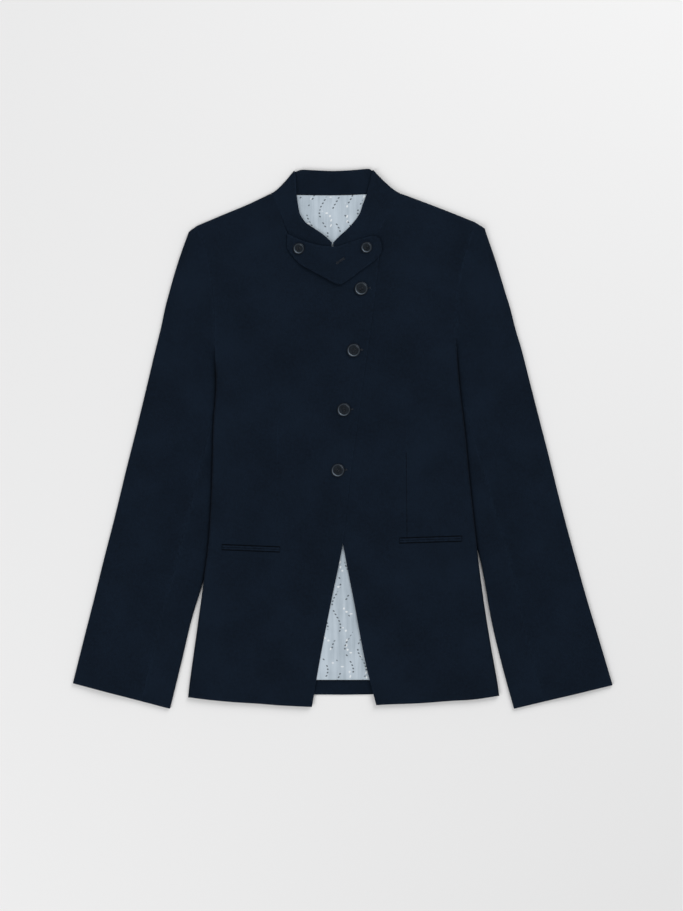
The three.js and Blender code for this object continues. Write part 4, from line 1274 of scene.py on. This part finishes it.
def satin(name, look):
    """Light satin lining with a scattered trellis of small dots."""
    s = Shader(name)
    flat = s.uv()
    u, v, _ = s.split(flat)
    streak = s.noise(flat, 120, 3, 0.6, (1, 0.07, 1))
    fine = s.noise(flat, 1600, 2, 0.5, (1, 0.05, 1))
    cloud = s.noise(flat, 22, 3, 0.5)
    tone = s.ease(streak * 0.6 + cloud * 0.4, 0.35, 0.66)
    base = s.blend(tone, rgba(look.lining_dark), rgba(look.lining_light))

    def dotted(across, down, spacing, pitch, wave, length, radius, phase):
        """Strings of dots that wander to and fro: 1 in a dot, 0 outside."""
        swing = ((down * (2 * math.pi / length) + phase).do("SINE")) * wave
        lane = (across + swing) / spacing
        lane_number = lane.do("FLOOR")
        aside = (lane.do("FRACT") - 0.5) * spacing
        step = down / pitch + lane_number * 0.37
        ahead = (step.do("FRACT") - 0.5) * pitch
        far = (aside * aside + ahead * ahead).do("SQRT")
        number = step.do("FLOOR") * 12.9898 + lane_number * 78.233
        chance = (number.do("SINE") * 43.7585).do("FRACT")
        return s.ease(far, radius * 0.75, radius * 1.15, 1.0, 0.0), chance, lane_number

    dark_dots, dark_chance, _ = dotted(u, v, 0.0170, 0.0044, 0.0056, 0.058, 0.00125, 0.4)
    tilted_u = u * 0.83 + v * 0.56
    tilted_v = v * 0.83 - u * 0.56
    white_dots, white_chance, _ = dotted(tilted_u, tilted_v, 0.0265, 0.0056, 0.0062, 0.047, 0.0015, 1.9)
    patchy = s.ease(s.noise(flat, 48, 1, 0.4), 0.40, 0.47)
    moved = s.node("ShaderNodeMapping", inputs={0: flat, 1: (3, 1, 0)})[0]
    patchy_white = s.ease(s.noise(moved, 40, 1, 0.4), 0.44, 0.52)
    dark_mask = dark_dots * (dark_chance > 0.2) * patchy
    white_mask = white_dots * (white_chance > 0.25) * patchy_white
    colour = s.blend(white_mask * 0.75, base, rgba(look.print_light))
    colour = s.blend(dark_mask * 0.82, colour, rgba(look.print_dark))
    soft = s.bump(streak * 0.5 + fine * 0.5, 0.0002, 0.4)
    raised = s.bump(dark_mask + white_mask, 0.00025, 0.5, soft)
    rough = 0.34 + streak * 0.14 + dark_mask * 0.2
    return s.finish(
        base_color=colour, roughness=rough, normal=raised, specular_ior_level=0.35,
        sheen_weight=0.12, sheen_roughness=0.4, sheen_tint=rgba(look.print_light),
    )


def horn(name, look):
    """Dark polished button with faint layers, fine turning marks and a painted highlight on its rim."""
    s = Shader(name)
    place = s.place()
    cloud = s.noise(place, 260, 3, 0.6, (1, 0.35, 1))
    grain = s.noise(place, 1500, 2, 0.6, (1, 0.2, 1))
    colour = s.blend(s.ease(cloud, 0.35, 0.68), rgba(look.button_colour), rgba(look.button_light))
    colour = s.blend(s.ease(grain, 0.6, 0.75, 0.0, 0.3), colour, rgba(look.button_light))
    # painted highlight on the rim, lighter where the key light would shine on it
    rim = s.attribute("rim")
    colour = s.blend(rim, colour, rgba(look.button_rim_highlight))
    scratched = s.bump(grain, 0.00003, 0.25)
    return s.finish(
        base_color=colour, roughness=0.15 + grain * 0.12, normal=scratched, specular_ior_level=0.2,
        specular_tint=(0.72, 0.86, 1.0, 1.0), coat_weight=0.1, coat_roughness=0.08,
        coat_tint=(0.75, 0.88, 1.0, 1.0),
    )


def sewing_thread(name, colour):
    """Twisted thread."""
    s = Shader(name)
    place = s.place()
    x, y, z = s.split(place)
    twist = ((x + y * 0.8 + z) / 0.00034).do("SINE") * 0.5 + 0.5
    fuzz = s.noise(place, 2600, 2, 0.6)
    tone = s.blend(twist * 0.6 + fuzz * 0.3, scaled(colour, 0.6), scaled(colour, 1.4))
    ply = s.bump(twist + fuzz * 0.4, 0.00006, 0.6)
    return s.finish(
        base_color=tone, roughness=0.7 + fuzz * 0.15, normal=ply, specular_ior_level=0.2, sheen_weight=0.2,
        sheen_roughness=0.4,
    )


def studio_floor(name, colour):
    """Seamless matte paper."""
    s = Shader(name)
    place = s.place()
    fibre = s.noise(place, 320, 3, 0.6)
    cloud = s.noise(place, 1.6, 2, 0.5)
    mottle = s.ease(fibre * 0.4 + cloud * 0.6, 0.3, 0.7, 0.0, 0.2)
    tone = s.blend(mottle, rgba(colour), scaled(colour, 0.985))
    tooth = s.bump(fibre, 0.0002, 0.06)
    return s.finish(base_color=tone, roughness=0.92 + fibre * 0.05, normal=tooth, specular_ior_level=0.1)


FINISHES = {}


def finish_for(name):
    """Each finish is made once, when a piece first asks for it."""
    look = bpy.context.scene.blazer_look
    makers = {
        "cloth": lambda: wool("navy worsted", look),
        "front cloth": lambda: wool("navy worsted of the fronts", look, shaded_lines()),
        "lining": lambda: satin("printed satin lining", look),
        "button": lambda: horn("polished dark button", look),
        "thread": lambda: sewing_thread("button thread", look.thread_colour),
        "hole thread": lambda: sewing_thread("buttonhole thread", look.hole_colour),
        "floor": lambda: studio_floor("seamless paper", look.floor_colour),
    }
    if name not in FINISHES:
        FINISHES[name] = makers[name]()
    return FINISHES[name]


def length_setting(name, description, default):
    return FloatProperty(name=name, description=description, default=default, unit="LENGTH", precision=5)


def colour_setting(name, description, default):
    return FloatVectorProperty(
        name=name, description=description, default=default, subtype="COLOR", size=3, min=0, max=1
    )


def share_setting(name, description, default):
    return FloatProperty(name=name, description=description, default=default, min=0, max=1)


def power_setting(name, description, default):
    return FloatProperty(name=name, description=description, default=default, unit="POWER")


class BlazerSizes(bpy.types.PropertyGroup):
    """Thicknesses of the cloths, the gap at a seam and the spacing of each panel's grid."""

    cloth: length_setting("Cloth", "Thickness of the cloth", 0.0014)
    lining: length_setting("Lining", "Thickness of the lining", 0.001)
    band: length_setting("Collar band", "Thickness of the collar", 0.0019)
    tab: length_setting("Throat tab", "Thickness of the throat tab", 0.002)
    seam_gap: length_setting("Seam", "Gap left where two panels are sewn together", 0.00012)
    front_step: length_setting("Front grid", "Spacing of the fronts' grid", 0.0033)
    back_step: length_setting("Back grid", "Spacing of the back's and lining's grid", 0.0042)
    sleeve_step: length_setting("Sleeve grid", "Spacing of the sleeves' rows", 0.0036)


class ButtonSizes(bpy.types.PropertyGroup):
    """Sizes of the turned buttons and their thread."""

    front: length_setting("Front radius", "Radius of a front button", 0.009)
    tab: length_setting("Tab radius", "Radius of a tab button", 0.0075)
    thickness: length_setting("Thickness", "Height of a button", 0.0028)
    rim: length_setting("Rim", "Width of the raised rim", 0.0017)
    dish: length_setting("Dish", "Depth of the dished middle", 0.0010)
    hole: length_setting("Hole radius", "Radius of a thread hole", 0.0008)
    hole_at: length_setting("Hole place", "Distance of a hole from each centre line", 0.0016)
    thread: length_setting("Thread", "Thickness of the button thread", 0.00042)


class BlazerLook(bpy.types.PropertyGroup):
    """Colours and finish of the cloths, buttons and floor."""

    cloth_colour: colour_setting("Cloth", "Navy of the worsted", (0.0059, 0.0123, 0.0241))
    lint_colour: colour_setting("Lint", "Fibres standing off the cloth", (0.045, 0.055, 0.075))
    sheen_colour: colour_setting("Sheen", "Tint of the cloth's nap", (0.55, 0.65, 0.85))
    cloth_sheen: share_setting("Sheen", "Strength of the nap", 0.035)
    cloth_specular: share_setting("Gloss", "Gloss of the worsted", 0.06)
    thread_pitch: length_setting("Thread pitch", "Distance from one thread of the weave to the next", 0.00055)
    lining_dark: colour_setting("Lining shade", "Darker tone of the satin", (0.355, 0.420, 0.478))
    lining_light: colour_setting("Lining light", "Lighter tone of the satin", (0.50, 0.575, 0.645))
    print_dark: colour_setting("Dark dots", "Dark dots on the lining", (0.045, 0.055, 0.066))
    print_light: colour_setting("White dots", "White dots on the lining", (0.80, 0.83, 0.85))
    button_colour: colour_setting("Button", "Dark tone of the buttons", (0.003, 0.0045, 0.0065))
    # colour of the painted highlight on the buttons' rims
    button_rim_highlight: colour_setting("Button rim", "Polished rim of the buttons", (0.17, 0.21, 0.26))
    button_light: colour_setting("Button layers", "Lighter layers in the buttons", (0.008, 0.011, 0.015))
    thread_colour: colour_setting("Button thread", "Thread in the buttons", (0.010, 0.013, 0.019))
    hole_colour: colour_setting("Buttonhole thread", "Thread round the buttonholes", (0.010, 0.015, 0.025))
    floor_colour: colour_setting("Floor", "Paper under the blazer", (0.83, 0.83, 0.832))


class StudioSettings(bpy.types.PropertyGroup):
    """Camera height, lens and light."""

    camera_height: length_setting("Camera height", "Height of the camera over the surface", 2.867)
    lens: FloatProperty(name="Lens", description="Focal length", default=85, unit="CAMERA")
    world: FloatProperty(name="Room light", description="Brightness of the white room", default=0.54, min=0)
    key: power_setting("Key", "Power of the large light above the neck", 45)
    fill: power_setting("Fill", "Power of the light from the lower left", 36)


class Step(bpy.types.Operator):
    """A step that stops the script when it fails."""

    bl_options = {"REGISTER", "UNDO"}

    def execute(self, context):
        self.make(context.scene.blazer_sizes, context.scene)
        return {"FINISHED"}


class LayBack(Step):
    """Lays the back and its lining"""

    bl_idname = "blazer.lay_back"
    bl_label = "Lay back and lining"

    def make(self, sizes, scene):
        back, uv = back_panel(sizes, finish_for("cloth"))
        lining, uv = lining_panel(sizes, finish_for("lining"))


class LaySleeves(Step):
    """Lays both sleeves, an upper and an under piece each"""

    bl_idname = "blazer.lay_sleeves"
    bl_label = "Lay sleeves"

    def make(self, sizes, scene):
        sleeve_pieces(RIGHT, RIGHT_SLEEVE, sizes, finish_for("cloth"))
        sleeve_pieces(LEFT, LEFT_SLEEVE, sizes, finish_for("cloth"))


class LayFronts(Step):
    """Lays the left front, then the right front over it, with the pocket jets"""

    bl_idname = "blazer.lay_fronts"
    bl_label = "Lay fronts and pockets"

    def make(self, sizes, scene):
        layers = ((LEFT, RIGHT, ["back_lining"]), (RIGHT, LEFT, ["back_lining", "front_left"]))
        for side, other, below in layers:
            front, uv = front_panel(side, other, sizes, finish_for("front cloth"))
            jets = pocket_jets(side, sizes, finish_for("front cloth"))


class FoldCollar(Step):
    """Folds the stand collar round the neck"""

    bl_idname = "blazer.fold_collar"
    bl_label = "Fold collar"

    def make(self, sizes, scene):
        collar_band(sizes, finish_for("cloth"))


class ButtonTab(Step):
    """Lays the throat tab across the neck and works its eyelet buttonhole"""

    bl_idname = "blazer.button_tab"
    bl_label = "Button throat tab"

    def make(self, sizes, scene):
        tab, uv = throat_tab(sizes, finish_for("cloth"))
        top = TAB_LEVEL + sizes.tab * 500
        hole = stitched_slit(
            "tab_buttonhole_thread", TAB_HOLE.start, TAB_HOLE.end, lambda x, y: top + 0.5, TAB_HOLE.width,
            TAB_HOLE.thread, finish_for("hole thread"), eyelet=TAB_HOLE.eyelet,
        )


class SewButtons(Step):
    """Turns the buttons and sews them on"""

    bl_idname = "blazer.sew_buttons"
    bl_label = "Sew buttons"

    def make(self, sizes, scene):
        button_sizes = scene.blazer_buttons
        patterns = {
            "front": turned_button("front pattern", button_sizes.front, button_sizes, finish_for("button")),
            "tab": turned_button("tab pattern", button_sizes.tab, button_sizes, finish_for("button")),
        }
        places = [(f"button_front_{k + 1}", "front", at) for k, at in enumerate(BUTTONS_FRONT)]
        places += [(f"button_tab_{word}", "tab", at) for word, at in BUTTONS_TAB.items()]
        for number, (node, kind, (x, y)) in enumerate(places):
            low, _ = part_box(node)
            button = patterns[kind].copy()
            button.data = patterns[kind].data.copy()
            button.name = f"{node}_turned"
            scene.collection.objects.link(button)
            button.location = (x * MM, y * MM, low.z)
            turn = math.radians(BUTTON_TURN.first + BUTTON_TURN.step * number)
            button.rotation_euler = (0, 0, turn)
            keep_mesh(button)
            radius = button_sizes.front if kind == "front" else button_sizes.tab
            paint_rim_highlight(button, Vector((x * MM, y * MM, low.z)), radius, button_sizes)
            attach(button, "root")
            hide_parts(node)
            self.sew(button_sizes, node, x * MM, y * MM, low.z, turn)
        for pattern in patterns.values():
            bpy.data.objects.remove(pattern, do_unlink=True)

    def sew(self, sizes, node, x, y, z, turn):
        """Two bars of thread, each from one hole to the next."""
        well = z + sizes.thickness - sizes.dish * 0.96
        bars = []
        for side in (-1, 1):
            ends = []
            for way in (-1, 1):
                px, py = side * sizes.hole_at, way * sizes.hole_at
                ends.append((
                    x + px * math.cos(turn) - py * math.sin(turn),
                    y + px * math.sin(turn) + py * math.cos(turn),
                    well,
                ))
            bars.append(thread_bar("bar", ends[0], ends[1], sizes.thread / 2, 0.0004, finish_for("thread")))
        thread = join(f"{node}_thread", bars)
        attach(thread, "root")


class WorkButtonholes(Step):
    """Works a buttonhole under each front button"""

    bl_idname = "blazer.work_buttonholes"
    bl_label = "Work buttonholes"

    def make(self, sizes, scene):
        def level(x, y):
            at = front_height(RIGHT, np.asarray([x], float), np.asarray([y], float))[0]
            return at + sizes.cloth * 500 - 0.1

        for number, (x, y) in enumerate(BUTTONS_FRONT):
            start, end = ((x + dx, y + dy) for dx, dy in (BUTTONHOLE.start, BUTTONHOLE.end))
            stitched_slit(
                f"buttonhole_thread_{number + 1}", start, end, level, BUTTONHOLE.width, BUTTONHOLE.thread,
                finish_for("hole thread"),
            )


class SetStage(Step):
    """Sets the floor, the lights and the camera above"""

    bl_idname = "blazer.set_stage"
    bl_label = "Set stage"

    def make(self, sizes, scene):
        studio = scene.blazer_studio
        floor = self.floor()
        world = bpy.data.worlds.new("studio room")
        world.use_nodes = True
        world.node_tree.nodes["Background"].inputs[0].default_value = (1, 1, 1, 1)
        world.node_tree.nodes["Background"].inputs[1].default_value = studio.world
        scene.world = world
        scene.view_settings.view_transform = "Standard"
        self.light("key", KEY_PLACE, studio.key)
        self.light("fill", FILL_PLACE, studio.fill)
        camera_data = bpy.data.cameras.new("camera")
        camera_data.lens = studio.lens
        camera_data.sensor_width = 36
        camera_data.clip_end = 30
        camera = bpy.data.objects.new("camera", camera_data)
        camera.location = (CAMERA_PLACE[0] * MM, CAMERA_PLACE[1] * MM, studio.camera_height)
        scene.collection.objects.link(camera)
        scene.camera = camera

    def floor(self):
        deselect()
        bpy.ops.mesh.primitive_grid_add(x_subdivisions=8, y_subdivisions=8, size=14, location=(0, 0, -0.0002))
        floor = bpy.context.object
        floor.name = "floor"
        floor.data.materials.append(finish_for("floor"))
        keep_mesh(floor)
        return floor

    def light(self, name, place, power):
        data = bpy.data.lights.new(name, "AREA")
        data.shape = "DISK"
        data.size = LAMP_SIZE
        data.energy = power
        lamp = bpy.data.objects.new(name, data)
        lamp.location = place
        lamp.rotation_euler = (-Vector(place)).to_track_quat("-Z", "Y").to_euler()
        bpy.context.scene.collection.objects.link(lamp)


class BlazerPanel(bpy.types.Panel):
    """The steps, in the order they are sewn and laid"""

    bl_idname = "VIEW3D_PT_blazer"
    bl_label = "Blazer"
    bl_space_type = "VIEW_3D"
    bl_region_type = "UI"
    bl_category = "Blazer"

    def draw(self, context):
        for step in STEPS:
            self.layout.operator(step.bl_idname)
        for group in SETTINGS:
            settings = getattr(context.scene, group)
            box = self.layout.box()
            for key in settings.__annotations__:
                box.prop(settings, key)


STEPS = (LayBack, LaySleeves, LayFronts, FoldCollar, ButtonTab, WorkButtonholes, SewButtons, SetStage)
SETTINGS = {
    "blazer_sizes": BlazerSizes,
    "blazer_buttons": ButtonSizes,
    "blazer_look": BlazerLook,
    "blazer_studio": StudioSettings,
}
CLASSES = (*SETTINGS.values(), *STEPS, BlazerPanel)


def register():
    for item in CLASSES:
        bpy.utils.register_class(item)
    for name, group in SETTINGS.items():
        setattr(bpy.types.Scene, name, PointerProperty(type=group))


def unregister():
    for name in SETTINGS:
        delattr(bpy.types.Scene, name)
    for item in reversed(CLASSES):
        bpy.utils.unregister_class(item)


def main():
    register()
    bpy.ops.blazer.set_stage()
    bpy.ops.blazer.lay_back()
    bpy.ops.blazer.lay_sleeves()
    bpy.ops.blazer.lay_fronts()
    bpy.ops.blazer.fold_collar()
    bpy.ops.blazer.button_tab()
    bpy.ops.blazer.work_buttonholes()
    bpy.ops.blazer.sew_buttons()


if __name__ == "__main__":
    main()
